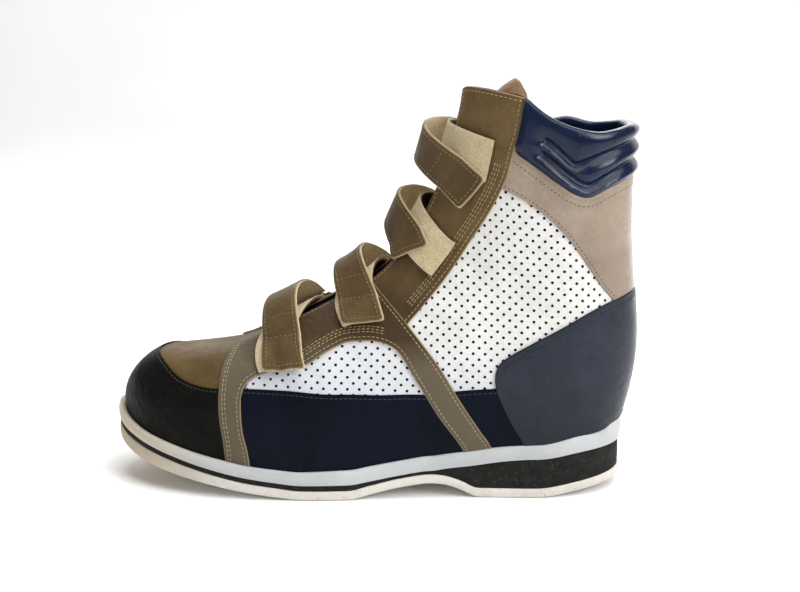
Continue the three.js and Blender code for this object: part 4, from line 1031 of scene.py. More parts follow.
def dress(tree, shader, base, layers, heights=(), gloss=None):
    """Tones over a base colour, bumps on one another and a gloss, all up to the shader.

    Each tone comes after its share, and each height before its depth in millimetres.
    """
    colour = linear(base)
    for share, tone in layers:
        colour = add(tree, "ShaderNodeMix", {0: share, MIX_A: colour, MIX_B: linear(tone)},
                     data_type="RGBA").outputs[MIXED]
    tree.links.new(colour, shader.inputs["Base Color"])
    below = {}
    for height, depth in heights:
        relief = add(tree, "ShaderNodeBump", {
            "Height": height, "Strength": 1.0, "Distance": depth * MM, **below})
        below = {"Normal": relief.outputs[0]}
        tree.links.new(relief.outputs[0], shader.inputs["Normal"])
    if gloss is not None:
        tree.links.new(gloss, shader.inputs["Roughness"])


# %% Leather
def leather(name, light, dark, stain, cut_edge, grain=1.0, depth=0.10, crease=0.12, rough=(0.42, 0.62),
            coat=0.0, edge_wear=0.5, scuff=0.25, shine=0.3, tones=()):
    """Full-grain side leather: pebbled grain, soft creases, patchy dye and a worn cut edge."""
    finish, tree, shader, place, clouds = new_finish(name, {
        "IOR": 1.5, "Coat Weight": coat, "Coat Roughness": 0.18, "Specular IOR Level": shine}, [
        (26, 4, 0.6, 0.4, 0.38, 0.62),  # patches of dye
        (18, 2.5, 0.5, 0.3, 0.42, 0.75, 0, scuff),  # old stains
        (3, 3, 0.55, 0, 0.3, 0.7, -0.015, 0.015),  # ragged border of the cut edge
        (14, 3, 0.55, 0, 0.3, 0.7, *rough),  # gloss
        (9, 3, 0.5, 1.2, 0.2, 0.8),  # soft folds
        (0.7, 2, 0.7, 0, 0, 1),  # fine pores
    ])
    patches, stains, ragged, gloss, folds, fine = clouds
    pebbles = add(tree, "ShaderNodeTexVoronoi", {"Vector": place, "Scale": per_mm(grain)}).outputs["Distance"]
    hollows = add(tree, "ShaderNodeMapRange", {
        "Value": pebbles, "From Min": 0.28, "From Max": 0.62, "To Max": 0.22}).outputs[0]
    layers = [(patches, dark), (stains, stain), (hollows, stain)]
    # Broad tones, some of them painted shade: an axis, the millimetres where the tone starts and is full, its
    # amount and colour.
    split = add(tree, "ShaderNodeSeparateXYZ", {"Vector": place})
    for axis, start, end, amount, tone in tones:
        share = add(tree, "ShaderNodeMapRange", {
            "Value": split.outputs[axis], "From Min": start * MM, "From Max": end * MM, "To Max": amount})
        layers.append((share.outputs[0], tone))
    # The cut edge shows the pale or inked inside of the leather.
    edge = add(tree, "ShaderNodeAttribute", attribute_name="edge").outputs["Fac"]
    border = add(tree, "ShaderNodeMath", {0: edge, 1: ragged}, operation="ADD").outputs[0]
    cut = add(tree, "ShaderNodeMapRange", {
        "Value": border, "From Min": 0.02, "From Max": 0.09, "To Min": edge_wear, "To Max": 0.0}).outputs[0]
    dress(tree, shader, light, layers + [(cut, cut_edge)],
          [(folds, crease * 4), (pebbles, depth), (fine, depth * 0.45)], gloss)
    return finish


# Waxed brown-grey nubuck of the facings, rubbed by hand: matt, cloudy, paler at its cut edges.
# Its first tone is painted shade, darker brown below about 150 to 112 mm; its second turns it greyer below
# about 95 to 78 mm.
facing_leather = leather("nubuck_waxed_facing", "#776140", "#64512f", "#4b3b22", "#a08c6c",
                         grain=0.9, depth=0.07, rough=(0.5, 0.7), edge_wear=0.75, scuff=0.35, shine=0.2,
                         tones=((2, 150, 112, 0.9, "#3e2f1c"), (2, 95, 78, 0.9, "#655c4b")))
# Coated calf of the rear quarter: pale taupe with a plastic gloss and hardly any grain.
quarter_leather = leather("calf_coated_quarter", "#ab9b8c", "#9a8977", "#7f6e5a", "#6a5944",
                          grain=1.2, depth=0.04, crease=0.09, rough=(0.24, 0.38), coat=0.25,
                          tones=((2, 170, 138, 0.6, "#857465"),))
# Oiled brown leather of the vamp plug, dry and a little cracked from bending.
plug_leather = leather("oiled_side_plug", "#66512f", "#544124", "#3d2f18", "#2e2616",
                       depth=0.07, crease=0.05, rough=(0.42, 0.6), edge_wear=0.3, scuff=0.45, shine=0.2)
# Pigmented navy leather of the low panels: smooth, dark, with broad dull highlights.
low_leather = leather("pigmented_side_navy", "#0d1220", "#090d16", "#161c28", "#08090d", grain=1.1,
                      depth=0.07, crease=0.10, rough=(0.36, 0.52), edge_wear=0.6, scuff=0.22, shine=0.06)
# Slate-blue smooth leather of the counter, stretched over a stiff cup, so it shines.
counter_leather = leather("moulded_calf_counter", "#2c323f", "#222733", "#161a22", "#101218",
                          grain=1.2, depth=0.05, crease=0.06, rough=(0.26, 0.4), coat=0.06, shine=0.2,
                          edge_wear=0.6, tones=((2, 76, 34, 0.85, "#1a1e27"),))
# Black rand leather round the toe, waxed, scuffed where the toe knocks.
rand_leather = leather("waxed_side_rand", "#0f0f0e", "#0a0a09", "#1f1e1a", "#080808",
                       depth=0.09, rough=(0.34, 0.52), scuff=0.35, shine=0.06)
# Soft glossy navy napa over foam: fine creases and bright rolls.
collar_leather = leather("napa_padded_collar", "#0f1c3c", "#091429", "#182744", "#05080e",
                         grain=0.8, depth=0.05, crease=0.07, rough=(0.14, 0.22), coat=0.3, shine=0.15,
                         edge_wear=0.0, scuff=0.15)
# Waxed brown strap leather, a little darker than the facings, paler along its edges.
strap_leather = leather("nubuck_waxed_strap", "#675336", "#58462b", "#3a2d18", "#9c8760",
                        grain=0.9, depth=0.08, rough=(0.42, 0.6), edge_wear=0.6, scuff=0.4, shine=0.2)
# Tan glove leather of the tongue: thin, soft and creased.
tongue_leather = leather("glove_tongue", "#7a532f", "#654324", "#452c17", "#8d7350",
                         grain=0.9, depth=0.08, crease=0.16, rough=(0.45, 0.62), edge_wear=0.3, scuff=0.35)
# White coated side leather with grey rubbing and fine wrinkles; painted shade turns it bluish grey
# towards the toe, and its second tone makes it bluish grey towards the bottom.
white_leather = leather("coated_side_white", "#f0efec", "#e6e5e2", "#c4c2bc", "#b7b0a2",
                        grain=0.8, depth=0.05, crease=0.10, rough=(0.38, 0.55), edge_wear=0.4, scuff=0.2,
                        tones=((0, -30, -120, 0.75, "#cfd3da"), (2, 95, 70, 0.5, "#cdd2db")))
# Black pigskin lining: matt and fine-grained.
lining_leather = leather("pigskin_lining", "#0f0e0e", "#0b0b0a", "#1a1917", "#4a4235",
                         grain=0.7, depth=0.06, crease=0.08, rough=(0.6, 0.8), edge_wear=0.2, scuff=0.3,
                         shine=0.2)


# %% Pile of the straps
def pile_finish():
    """Looped nylon pile of a touch fastener: fuzzy, matt, with tiny shadows between its loops."""
    finish, tree, shader, place, clouds = new_finish("nylon_pile_loops", {
        "Roughness": 0.95, "IOR": 1.53, "Sheen Weight": 0.35, "Sheen Roughness": 0.5,
        "Specular IOR Level": 0.2}, [(5, 4, 0.7, 0, 0.35, 0.65), (0.3, 3, 0.55, 0, 0, 1)])
    patches, fuzz = clouds
    loops = add(tree, "ShaderNodeTexVoronoi", {"Vector": place, "Scale": per_mm(0.7)}).outputs["Distance"]
    gaps = add(tree, "ShaderNodeMapRange", {
        "Value": loops, "From Min": 0.2, "From Max": 0.65, "To Max": 0.45}).outputs[0]
    dress(tree, shader, "#ecdcb6", [(patches, "#d9c69e"), (gaps, "#9c8a64")], [(fuzz, 0.2), (loops, 0.5)])
    return finish


pile = pile_finish()


# %% Rubber and foam of the sole
def sole_finish(name, light, dark, speck, speck_amount, rough, scratch, low=None, dirt="#b9a888",
                toe_dirt_and_shade=None):
    """Moulded sole stuff: rubber or foam with rubbed patches, fine scratches and dark specks."""
    finish, tree, shader, place, clouds = new_finish(name, {"IOR": 1.5, "Specular IOR Level": 0.35}, [
        (30, 4, 0.6, 0, 0.35, 0.65),  # rubbed patches
        (5, 5, 0.7, 0.5, 0.5, 0.75, 0, 0.35),  # grime
        (6, 2, 0.55, 0, 0.42, 0.55),  # where the stuff holds crumbs
        (8, 3, 0.55, 0, 0.3, 0.7, rough, rough + 0.18),  # gloss
        (0.8, 3, 0.7, 0, 0, 1),  # grit
    ])
    patches, grime, chosen, gloss, grit = clouds
    split = add(tree, "ShaderNodeSeparateXYZ", {"Vector": place})
    layers = [(patches, dark), (grime, dirt)]
    # A tone towards the toe: dirt on the outsole, painted shade on the midsole's round toe.
    if toe_dirt_and_shade:
        front = add(tree, "ShaderNodeMapRange", {
            "Value": split.outputs[0], "From Min": (TOE_X + 80) * MM, "From Max": (TOE_X + 15) * MM,
            "To Max": 0.75})
        layers.append((front.outputs[0], toe_dirt_and_shade))
    # Crumbs of other rubber: only some of the cells hold one, and most lie near the floor.
    crumbs = add(tree, "ShaderNodeTexVoronoi", {"Vector": place, "Scale": per_mm(1.9)}).outputs["Distance"]
    spots = add(tree, "ShaderNodeMapRange", {
        "Value": crumbs, "From Min": 0.10, "From Max": 0.22, "To Min": speck_amount,
        "To Max": 0.0}).outputs[0]
    limits = [chosen]
    if low:
        limits.append(add(tree, "ShaderNodeMapRange", {
            "Value": split.outputs[2], "From Min": low[0] * MM, "From Max": low[1] * MM,
            "To Min": 1.0, "To Max": 0.12}).outputs[0])
    for limit in limits:
        spots = add(tree, "ShaderNodeMath", {0: spots, 1: limit}, operation="MULTIPLY").outputs[0]
    # The grinding wheel leaves streaks along the side, so that pattern is stretched lengthwise.
    streaks = add(tree, "ShaderNodeMapping", {"Vector": place, "Scale": (0.25, 0.6, 2.2)}).outputs[0]
    lines = add(tree, "ShaderNodeTexNoise", {
        "Vector": streaks, "Scale": per_mm(1.6), "Detail": 4, "Roughness": 0.7}).outputs[0]
    dress(tree, shader, light, layers + [(spots, speck)], [(lines, scratch * 2), (grit, scratch)], gloss)
    return finish


# Cast rubber outsole, off-white and dirty, dark crumbs pressed in along its lower rim.
outsole_rubber = sole_finish("cast_rubber_outsole", "#e3dfd8", "#d6d0c7", "#4a423a", 0.9, 0.6,
                             0.06, low=(2.0, 9.0), toe_dirt_and_shade="#b39f7e")
# Ground black foam rubber of the heel wedge, dull, with a few pale crumbs.
wedge_foam = sole_finish("ground_foam_wedge", "#151511", "#0f0f0c", "#7a7262", 0.45, 0.75, 0.10,
                         dirt="#39362e")
# Ground white foam of the midsole: a satin face with fine sanding scratches; painted shade makes it beige at
# its round toe.
midsole_foam = sole_finish("ground_foam_midsole", "#c6c9cb", "#babdbf", "#8d8678", 0.25, 0.5, 0.05,
                           dirt="#cfc6b4", toe_dirt_and_shade="#cbbd9f")
# Dark covered board of the insole: dull, a little dusty.
insole_board = sole_finish("covered_insole", "#2d2a27", "#24211e", "#3d3a36", 0.3, 0.8, 0.04,
                           dirt="#37332e")


# %% Metal, thread and punched holes
def plain_finish(name, light, dark, sockets, marks, depth=0.0, gloss=()):
    """A finish between two near colours by its first pattern, with relief by its last one."""
    finish, tree, shader, _, clouds = new_finish(name, sockets, marks)
    rough = None
    if gloss:
        rough = add(tree, "ShaderNodeMapRange", {
            "Value": clouds[0], "To Min": gloss[0], "To Max": gloss[1]}).outputs[0]
    dress(tree, shader, light, [(clouds[0], dark)], [(clouds[-1], depth)] if depth else [], rough)
    return finish


# Nickel-plated steel wire of the rings: bright, with small dull patches and fine scratches.
ring_metal = plain_finish("nickel_plated_ring", "#c9c6bf", "#8d8880", {"Metallic": 1.0},
                          [(3, 4, 0.7, 0, 0.45, 0.7), (0.6, 3, 0.55, 0, 0, 1)], 0.02, (0.22, 0.47))
# Bonded polyester thread: matt, twisted, a little dirty in its hollows.
THREAD = {"IOR": 1.55, "Roughness": 0.7, "Sheen Weight": 0.1}
TWIST = [(0.5, 2, 0.55, 0, 0.35, 0.65)]
tan_thread = plain_finish("bonded_thread_tan", "#b8a47c", "#94805a", THREAD, TWIST, 0.08)
navy_thread = plain_finish("bonded_thread_navy", "#1b2334", "#111724", THREAD, TWIST, 0.08)
brown_thread = plain_finish("bonded_thread_brown", "#947f58", "#715e3c", THREAD, TWIST, 0.08)
dark_thread = plain_finish("bonded_thread_dark", "#3a3328", "#292319", THREAD, TWIST, 0.08)
# Inside of a punched hole: black, since no light comes back out of it.
MATT = {"Roughness": 0.9, "Specular IOR Level": 0.1}
hole_black = plain_finish("punched_hole", "#17140f", "#241f18", MATT, [(1.0, 3, 0.55, 0, 0.4, 0.7)])
# Matt white card of the floor and background.
floor_card = plain_finish("background_card", "#fbfbfb", "#f6f6f6", MATT, [(400, 3, 0.55, 0, 0.3, 0.7)])
print("finishes", len(bpy.data.materials))

# %% [markdown]
# ## Sole
# The real sole is three slabs of rubber and foam, cemented and then ground flush on a wheel,
# so its side is smooth and its edges are a little round. Each slab is a loft: a profile of
# insets and heights carried along the boot, with the plan's outline as its width.

# %% Slabs of the sole
SOLE_STEPS = 150


def slab(name, heights, inset, bow, material, rounding):
    """A slab between two heights: its side bows out, its lower and upper edges are rounded."""
    low_r, high_r = rounding
    # Share of the half width, inset there, level (0 low, 1 high) and height off that level.
    profile = [(0.0, 0.0, 0, 0.0), (0.5, 0.0, 0, 0.0), (1.0, low_r, 0, 0.0)]
    for turn in (0.35, 0.7, 1.0):
        angle = turn * math.pi / 2
        profile.append((1.0, low_r * (1 - math.sin(angle)), 0, low_r * (1 - math.cos(angle))))
    for share in (0.35, 0.65):
        profile.append((1.0, -bow * math.sin(math.pi * share), share, 0.0))
    for turn in (0.0, 0.3, 0.65, 1.0):
        angle = turn * math.pi / 2
        profile.append((1.0, high_r * (1 - math.cos(angle)), 1, high_r * (1 - math.sin(angle))))
    profile += [(0.5, 0.0, 1, 0.0), (0.0, 0.0, 1, 0.0)]
    share_line = (1 - np.cos(np.linspace(0, math.pi, SOLE_STEPS))) / 2
    columns = []
    for side in (OUTSIDE, INSIDE):
        for wide, edge, level, offset in profile:
            extra = edge if wide == 1.0 else low_r
            x = mix(HEEL_X - inset - extra, TOE_X + inset + extra, share_line)
            low, high = heights(x)
            z = mix(low + low_r, high - high_r, level)
            if level == 0:
                z = low + offset
            elif level == 1:
                z = high - offset
            half = plan_half(x, side, inset + extra, inset + extra) * wide
            columns.append(np.stack([x, middle(x) + side * half, z], axis=1))
    outer = columns[:len(profile)]
    inner = columns[len(profile):][::-1]
    rings = np.stack(outer + inner[1:-1], axis=1)
    return loft_object(name, rings, material, merge=0.02)


CEMENTED = 0.2  # the wedge's faces reach this far into its neighbours, where the cement is


def outsole_heights(x):
    return sole_heights(x)[0:2]


def wedge_heights(x):
    _, wedge_bottom, mid_bottom, _ = sole_heights(x)
    return wedge_bottom - CEMENTED, mid_bottom + CEMENTED


def midsole_heights(x):
    return sole_heights(x)[2:4]


def insole_heights(x):
    bed = bed_height(x)
    return bed + GAP, bed + GAP + INSOLE_THICKNESS


INSOLE_INSET = SHELL_INSET + WALL + 2.6
SLABS = [  # name, heights, inset, bow, finish, rounding of the edges, slot, node
    ("outsole_slab", outsole_heights, 0.0, 0.3, outsole_rubber, (1.3, 0.5), "outsole", "outsole"),
    ("wedge_slab", wedge_heights, WEDGE_INSET, 0.2, wedge_foam, (0.3, 0.3), "wedge", "heel_wedge"),
    ("midsole_slab", midsole_heights, 0.0, 0.7, midsole_foam, (0.5, 1.2), "midsole", "midsole"),
    ("insole_slab", insole_heights, INSOLE_INSET, 0.0, insole_board, (0.4, 1.2), "insole", "insole"),
]
for *form, slot, node in SLABS:
    declare(slab(*form), slot, node)

# %% [markdown]
# ## Pattern pieces
# The outlines are the boot's own pattern pieces, drawn in the side view as shares of the
# sole's length and the front height. Upper pieces lie on lower ones, and a lower piece runs
# some millimetres on beneath its neighbour, as it does under the shoemaker's stitching.

# %% Pattern lines
FRONT_LEG_FRONT = [
    (0.746, 0.358), (0.7585, 0.335), (0.766, 0.300), (0.768, 0.248), (0.766, 0.198), (0.759, 0.132),
    (0.753, 0.03),
]
FRONT_LEG_REAR = [(0.704, 0.03), (0.711, 0.118), (0.720, 0.171), (0.723, 0.2214), (0.7225, 0.255)]
FACING_LOWER_EDGE = [
    (0.716, 0.280), (0.702, 0.297), (0.6824, 0.309), (0.641, 0.3235), (0.601, 0.334), (0.566, 0.361),
    (0.529, 0.384), (0.501, 0.3887), (0.478, 0.390), (0.453, 0.3845), (0.433, 0.372), (0.4186, 0.351),
    (0.4046, 0.321),
]
STRIP_FRONT = [(0.376, 0.2613), (0.348, 0.2025), (0.319, 0.151), (0.304, 0.118), (0.289, 0.03)]
STRIP_REAR = [
    (0.232, 0.03), (0.251, 0.1286), (0.273, 0.173), (0.311, 0.249), (0.3485, 0.3286),
    (0.3866, 0.393), (0.4257, 0.4517), (0.456, 0.4908), (0.482, 0.521),
]
FACING_UPPER_REAR = [
    (0.1987, 0.9795), (0.208, 0.9034), (0.218, 0.853), (0.228, 0.798), (0.242, 0.7529),
    (0.263, 0.700), (0.2954, 0.6328), (0.332, 0.559), (0.368, 0.498), (0.412, 0.430),
]
COLLAR_SEAM = [
    (0.216, 0.849), (0.1704, 0.808), (0.1336, 0.7735), (0.106, 0.751), (0.0824, 0.743),
    (0.0423, 0.7647), (-0.0055, 0.7858), (-0.06, 0.790),
]
COLLAR_TOP = [
    (0.1987, 0.971), (0.1547, 0.928), (0.1107, 0.903), (0.065, 0.891), (0.029, 0.896),
    (0.0033, 0.902), (-0.0163, 0.894), (-0.06, 0.892),
]
FACING_TOP = [
    (0.328, 0.94), (0.3192, 0.969), (0.306, 0.998), (0.285, 1.0), (0.241, 0.9916), (0.1987, 0.9795),
]
QUARTER_LOWER = [
    (0.240, 0.766), (0.205, 0.744), (0.169, 0.714), (0.1316, 0.6714), (0.1033, 0.628),
    (0.0746, 0.5743), (0.0554, 0.5365), (0.030, 0.495),
]
COUNTER_TOP = [
    (-0.06, 0.515), (-0.0114, 0.508), (0.029, 0.4937), (0.0713, 0.4693), (0.127, 0.4277),
    (0.182, 0.388), (0.218, 0.361), (0.237, 0.3416), (0.245, 0.3164), (0.2436, 0.2786),
    (0.230, 0.2336), (0.2104, 0.182), (0.189, 0.1336), (0.165, 0.03),
]
LOW_TOP = [
    (0.740, 0.270), (0.700, 0.274), (0.629, 0.273), (0.5726, 0.267), (0.5166, 0.265),
    (0.459, 0.2626), (0.404, 0.2643), (0.345, 0.262),
]
PLUG_LINE = [
    (0.720, -0.410), (0.760, -0.392), (0.800, -0.365), (0.840, -0.317), (0.8664, -0.260),
    (0.8925, -0.163), (0.9055, -0.077), (0.912, 0.020), (0.9055, 0.106), (0.889, 0.192),
    (0.863, 0.270), (0.8306, 0.322), (0.790, 0.356), (0.750, 0.380), (0.720, 0.392),
]


def within_skin(line, side):
    """The part of a line between the throat's edge and the sole, with its ends on them."""
    s, g = line[:, 0], np.abs(line[:, 1])
    room = np.minimum(g - THROAT_WIDTH / 2 / girth_at(s, side), bed_at(s, side) - g)
    keep = np.where(room >= 0)[0]
    first, last = keep[0], keep[-1]
    points = list(line[first:last + 1])
    if first > 0:
        share = room[first - 1] / (room[first - 1] - room[first])
        points.insert(0, mix(line[first - 1], line[first], share))
    if last < len(line) - 1:
        share = room[last] / (room[last] - room[last + 1])
        points.append(mix(line[last], line[last + 1], share))
    return np.array(points)


def to_back(line):
    """A line that ends, or starts, once on the back line of the boot."""
    side = 1 if line[:, 1].mean() > 0 else -1
    free = line[np.abs(line[:, 1]) < 0.997]
    if abs(line[0, 1]) > abs(line[-1, 1]):
        return np.concatenate([[(free[0, 0], side)], free])
    return np.concatenate([free, [(free[-1, 0], side)]])


def pattern(side, *pairs):
    """A pattern line on one side, kept between the throat and the sole."""
    return within_skin(trace([p for part in pairs for p in part], side), side)


# The inner side's top edge is lower by a share of the front height, over a stretch of the length.
INNER_DROP = 0.030
INNER_DROP_FROM = 0.098
INNER_DROP_OVER = 0.055
INNER_DROP_ABOVE = 0.904


def top_edge(pairs, side):
    """Top edge pairs; the inner side stands some millimetres lower in front of the collar's dip."""
    if side == OUTSIDE:
        return pairs
    drop = [INNER_DROP * smooth((a - INNER_DROP_FROM) / INNER_DROP_OVER) for a, _ in pairs]
    return [(a, u - down * (u > INNER_DROP_ABOVE)) for (a, u), down in zip(pairs, drop)]


def moved(pairs, along, up):
    """The same pattern line, moved in the side view."""
    return [(a + along, u + up) for a, u in pairs]


# %% Facings
# Lifts off the last, in millimetres: the underside of what lies on the wall, and each face.
UNDERSIDE = 0.32
FACING_FACE = 1.72
FACING_UPPER_FACE = 1.42
LOW_FACE = 1.0
COUNTER_FACE = 1.72
QUARTER_FACE = 1.22
RAND_FACE = 1.45
INSET_UNDERSIDE = -0.6  # the plug and the white panels are let into the wall
PLUG_FACE = 0.5
WHITE_FACE = 0.3
SIDE_NAMES = {OUTSIDE: "outer", INSIDE: "inner"}
FACING_LINES = {}


def facing_lower(side, name):
    """Lower facing: a front leg, the arch over the white panel and the slanting strip."""
    front = pattern(side, FRONT_LEG_FRONT)
    arch = pattern(side, FRONT_LEG_REAR, FACING_LOWER_EDGE, STRIP_FRONT)
    strip = pattern(side, STRIP_REAR)
    outline = joined(
        front, bed_line(front[-1, 0], arch[0, 0], side), arch,
        bed_line(arch[-1, 0], strip[0, 0], side), strip,
        throat_line(strip[-1, 0], front[0, 0], side))
    FACING_LINES[name] = {"front": front, "arch": arch, "strip": strip,
                          "throat": throat_line(front[0, 0], strip[-1, 0], side)}
    piece = panel(f"facing_lower_{name}_leather", outline, "front", UNDERSIDE, FACING_FACE, facing_leather,
                  spacing=3.0, groove=0.12)
    return declare(piece, "facing_leather", f"facing_lower_{name}")


def facing_upper(side, name):
    """Upper facing: from the ankle to the top, with the throat as its front edge."""
    top = pattern(side, top_edge(FACING_TOP, side))
    rear = trace(top_edge(FACING_UPPER_REAR[:1], side) + FACING_UPPER_REAR[1:], side)
    hidden = pattern(side, [(0.424, 0.424)], moved(STRIP_REAR[-3:], 0.014, -0.010))
    outline = joined(top, rear, hidden, throat_line(hidden[-1, 0], top[0, 0], side))
    lines = FACING_LINES[name]
    strip_row = lines["strip"][-1, 0]
    lines.update(top=top, upper_rear=rear, upper_throat=throat_line(strip_row, top[0, 0], side)[::-1])
    piece = panel(f"facing_upper_{name}_leather", outline, "front", UNDERSIDE, FACING_UPPER_FACE,
                  facing_leather, spacing=3.0, groove=0.12)
    return declare(piece, "facing_leather", f"facing_upper_{name}")


for side, name in SIDE_NAMES.items():
    facing_lower(side, name)
    facing_upper(side, name)

# %% [markdown]
# The low panels are navy and run under the legs of the facing. The counter is a stiff cup
# round the heel and the rear quarter fills the place between counter and collar; both cross
# the back of the boot in one piece, so they are cut in the chart that opens from the back.

# %% Low panels, counter and rear quarter
# Each low panel: its hidden front end, its top edge and its hidden rear end.
LOW_PANELS = {
    "front": ([(0.735, 0.03), (0.742, 0.14), (0.744, 0.235)], LOW_TOP,
              [(0.336, 0.245), (0.28, 0.13), (0.262, 0.03)]),
    "rear": ([(0.264, 0.03), (0.284, 0.13), (0.330, 0.238)], [(0.338, 0.270), (0.29, 0.276), (0.2, 0.283)],
             [(0.200, 0.24), (0.185, 0.12), (0.15, 0.03)]),
}
LOW_LINES = {}
for side, name in SIDE_NAMES.items():
    for part, ends in LOW_PANELS.items():
        lines = [trace(pairs, side) for pairs in ends]
        edge = within_skin(joined(*lines), side)
        outline = joined(edge, bed_line(edge[-1, 0], edge[0, 0], side))
        LOW_LINES[name, part] = lines[1]
        piece = panel(f"low_{part}_{name}_leather", outline, "front", UNDERSIDE, LOW_FACE, low_leather,
                      spacing=4.0)
        declare(piece, "low_leather", f"low_panel_{part}_{name}")

# The first and last sections that reach into the sole, at the toe and at the heel.
TOE_ROW = skin_s[np.where(BED_SHARE[OUTSIDE] < 1)[0].min()] - 0.02
HEEL_ROW = skin_s[np.where(BED_SHARE[OUTSIDE] < 1)[0].max()] + 0.02


def counter_half(side):
    """Top edge of the counter and its line along the sole, on one side."""
    top = to_back(within_skin(trace(COUNTER_TOP, side), side))
    return top, bed_line(top[-1, 0], HEEL_ROW, side)


counter_outer, heel_outer = counter_half(OUTSIDE)
counter_inner, heel_inner = counter_half(INSIDE)
counter_outline = joined(counter_outer, heel_outer, heel_inner[::-1], counter_inner[::-1])
declare(panel("counter_cup_leather", counter_outline, "back", UNDERSIDE, COUNTER_FACE, counter_leather,
              spacing=3.4, groove=0.14, groove_at=2.4), "counter_leather", "counter")


def quarter_half(side):
    """Upper edge, then front and lower edge of the quarter on one side, and its seen lower edge."""
    upper = trace([(-0.06, 0.806), (-0.0055, 0.802), (0.0423, 0.782), (0.0824, 0.761), (0.106, 0.769),
                   (0.1336, 0.791), (0.1704, 0.825), (0.208, 0.862), (0.234, 0.872)], side)
    upper = to_back(upper)
    front = trace([(0.238, 0.84), (0.250, 0.790), (0.252, 0.772)], side)
    lower = trace(QUARTER_LOWER, side)
    under = trace([(0.022, 0.474), (-0.0114, 0.486), (-0.06, 0.492)], side)
    return upper, joined(front, lower, to_back(under)), lower


quarter_top_outer, quarter_low_outer, quarter_edge_outer = quarter_half(OUTSIDE)
quarter_top_inner, quarter_low_inner, quarter_edge_inner = quarter_half(INSIDE)
quarter_outline = joined(quarter_top_outer, quarter_low_outer,
                         quarter_low_inner[::-1], quarter_top_inner[::-1])
declare(panel("rear_quarter_leather", quarter_outline, "back", UNDERSIDE, QUARTER_FACE, quarter_leather,
              spacing=3.4, groove=0.08, groove_at=2.0), "quarter_leather", "back_quarter")

# %% Toe rand and vamp plug
plug_line = plan_to_skin(smooth_line([(x_at(a), w * BALL_WIDTH) for a, w in PLUG_LINE], TRACE_STEP))


def straight(a, b, steps=14):
    """A straight stretch between two skin places."""
    return mix(np.asarray(a, float), np.asarray(b, float), np.linspace(0, 1, steps)[:, None])


def rand_end(side, top):
    """Where the rand ends, hidden under the front leg."""
    return straight(top, pattern(side, [(0.748, 0.20), (0.738, 0.10), (0.735, 0.03)])[-1])


rand_outer = rand_end(OUTSIDE, plug_line[0])
rand_inner = rand_end(INSIDE, plug_line[-1])
rand_outline = joined(plug_line, rand_inner, bed_line(rand_inner[-1, 0], TOE_ROW, INSIDE),
                      bed_line(TOE_ROW, rand_outer[-1, 0], OUTSIDE), rand_outer[::-1])
declare(panel("toe_rand_leather", rand_outline, "toe", UNDERSIDE, RAND_FACE, rand_leather, spacing=3.2,
              groove=0.08, groove_at=1.9), "rand_leather", "toe_rand")

PLUG_UNDER_RAND = 4.0  # the plug runs on under the rand by this much
PLUG_END_ROW = 9.5
PLUG_END_HALF = 15.0
plug_wide = moved_sideways(plug_line, PLUG_UNDER_RAND, False)
end_share = PLUG_END_HALF / girth_at(PLUG_END_ROW, OUTSIDE)
inner_end, outer_end = (PLUG_END_ROW, end_share), (PLUG_END_ROW, -end_share)
plug_outline = joined(plug_wide, straight(plug_wide[-1], inner_end), straight(inner_end, outer_end),
                      straight(outer_end, plug_wide[0]))
declare(panel("vamp_plug_leather", plug_outline, "toe", INSET_UNDERSIDE, PLUG_FACE, plug_leather,
              spacing=3.2), "panel_leather")

# %% White side panels
WHITE_OUTLINE = [
    (0.738, 0.235), (0.738, 0.290), (0.700, 0.325), (0.640, 0.350), (0.600, 0.362), (0.565, 0.392),
    (0.530, 0.412), (0.480, 0.418), (0.440, 0.418), (0.432, 0.440), (0.410, 0.470), (0.370, 0.530),
    (0.325, 0.605), (0.285, 0.690), (0.262, 0.760), (0.246, 0.806), (0.222, 0.782), (0.190, 0.757),
    (0.150, 0.715), (0.110, 0.665), (0.078, 0.610), (0.050, 0.555), (0.030, 0.520), (0.010, 0.490),
    (0.060, 0.450), (0.120, 0.408), (0.175, 0.368), (0.210, 0.335), (0.224, 0.305), (0.222, 0.245),
    (0.300, 0.236), (0.400, 0.235), (0.500, 0.235), (0.620, 0.235),
]
# Punched holes: distance along a row, between rows, radius, and slope of the rows.
HOLE_PITCH = 6.9
HOLE_ROWS = 3.35
HOLE_RADIUS = 0.92
HOLE_SLOPE = -0.035
HOLE_MARGIN = 2.6
HOLE_FROM_X = -40.0
HOLES_FROM, HOLES_TO = 0.255, 0.82  # lowest and highest row, as shares of the front height


def punched(outline, side):
    """Places of the holes: even rows on the surface, every second row moved by half a step."""
    flat = chart_xy(outline[:, 0], outline[:, 1], "front")
    holes = []
    xs = np.arange(x_at(0.745), x_at(0.0), 1.5)
    for row, z in enumerate(np.arange(HOLES_FROM * FRONT_HEIGHT, HOLES_TO * FRONT_HEIGHT, HOLE_ROWS)):
        line = side_to_skin(np.stack([xs, z + HOLE_SLOPE * (xs - HOLE_FROM_X)], axis=1), side)
        arc = distances(on_skin(line))
        arc -= np.interp(HOLE_FROM_X, xs, arc)
        start = HOLE_PITCH * (0.5 if row % 2 else 0.0)
        first = math.ceil((arc[0] - start) / HOLE_PITCH)
        at = start + HOLE_PITCH * np.arange(first, int((arc[-1] - start) / HOLE_PITCH))
        holes.append(np.stack([np.interp(at, arc, line[:, 0]), np.interp(at, arc, line[:, 1])], axis=1))
    holes = np.concatenate(holes)
    holes = holes[inside_outline(chart_xy(holes[:, 0], holes[:, 1], "front"), flat)]
    return holes[nearest(on_skin(holes), on_skin(outline)) > HOLE_MARGIN]


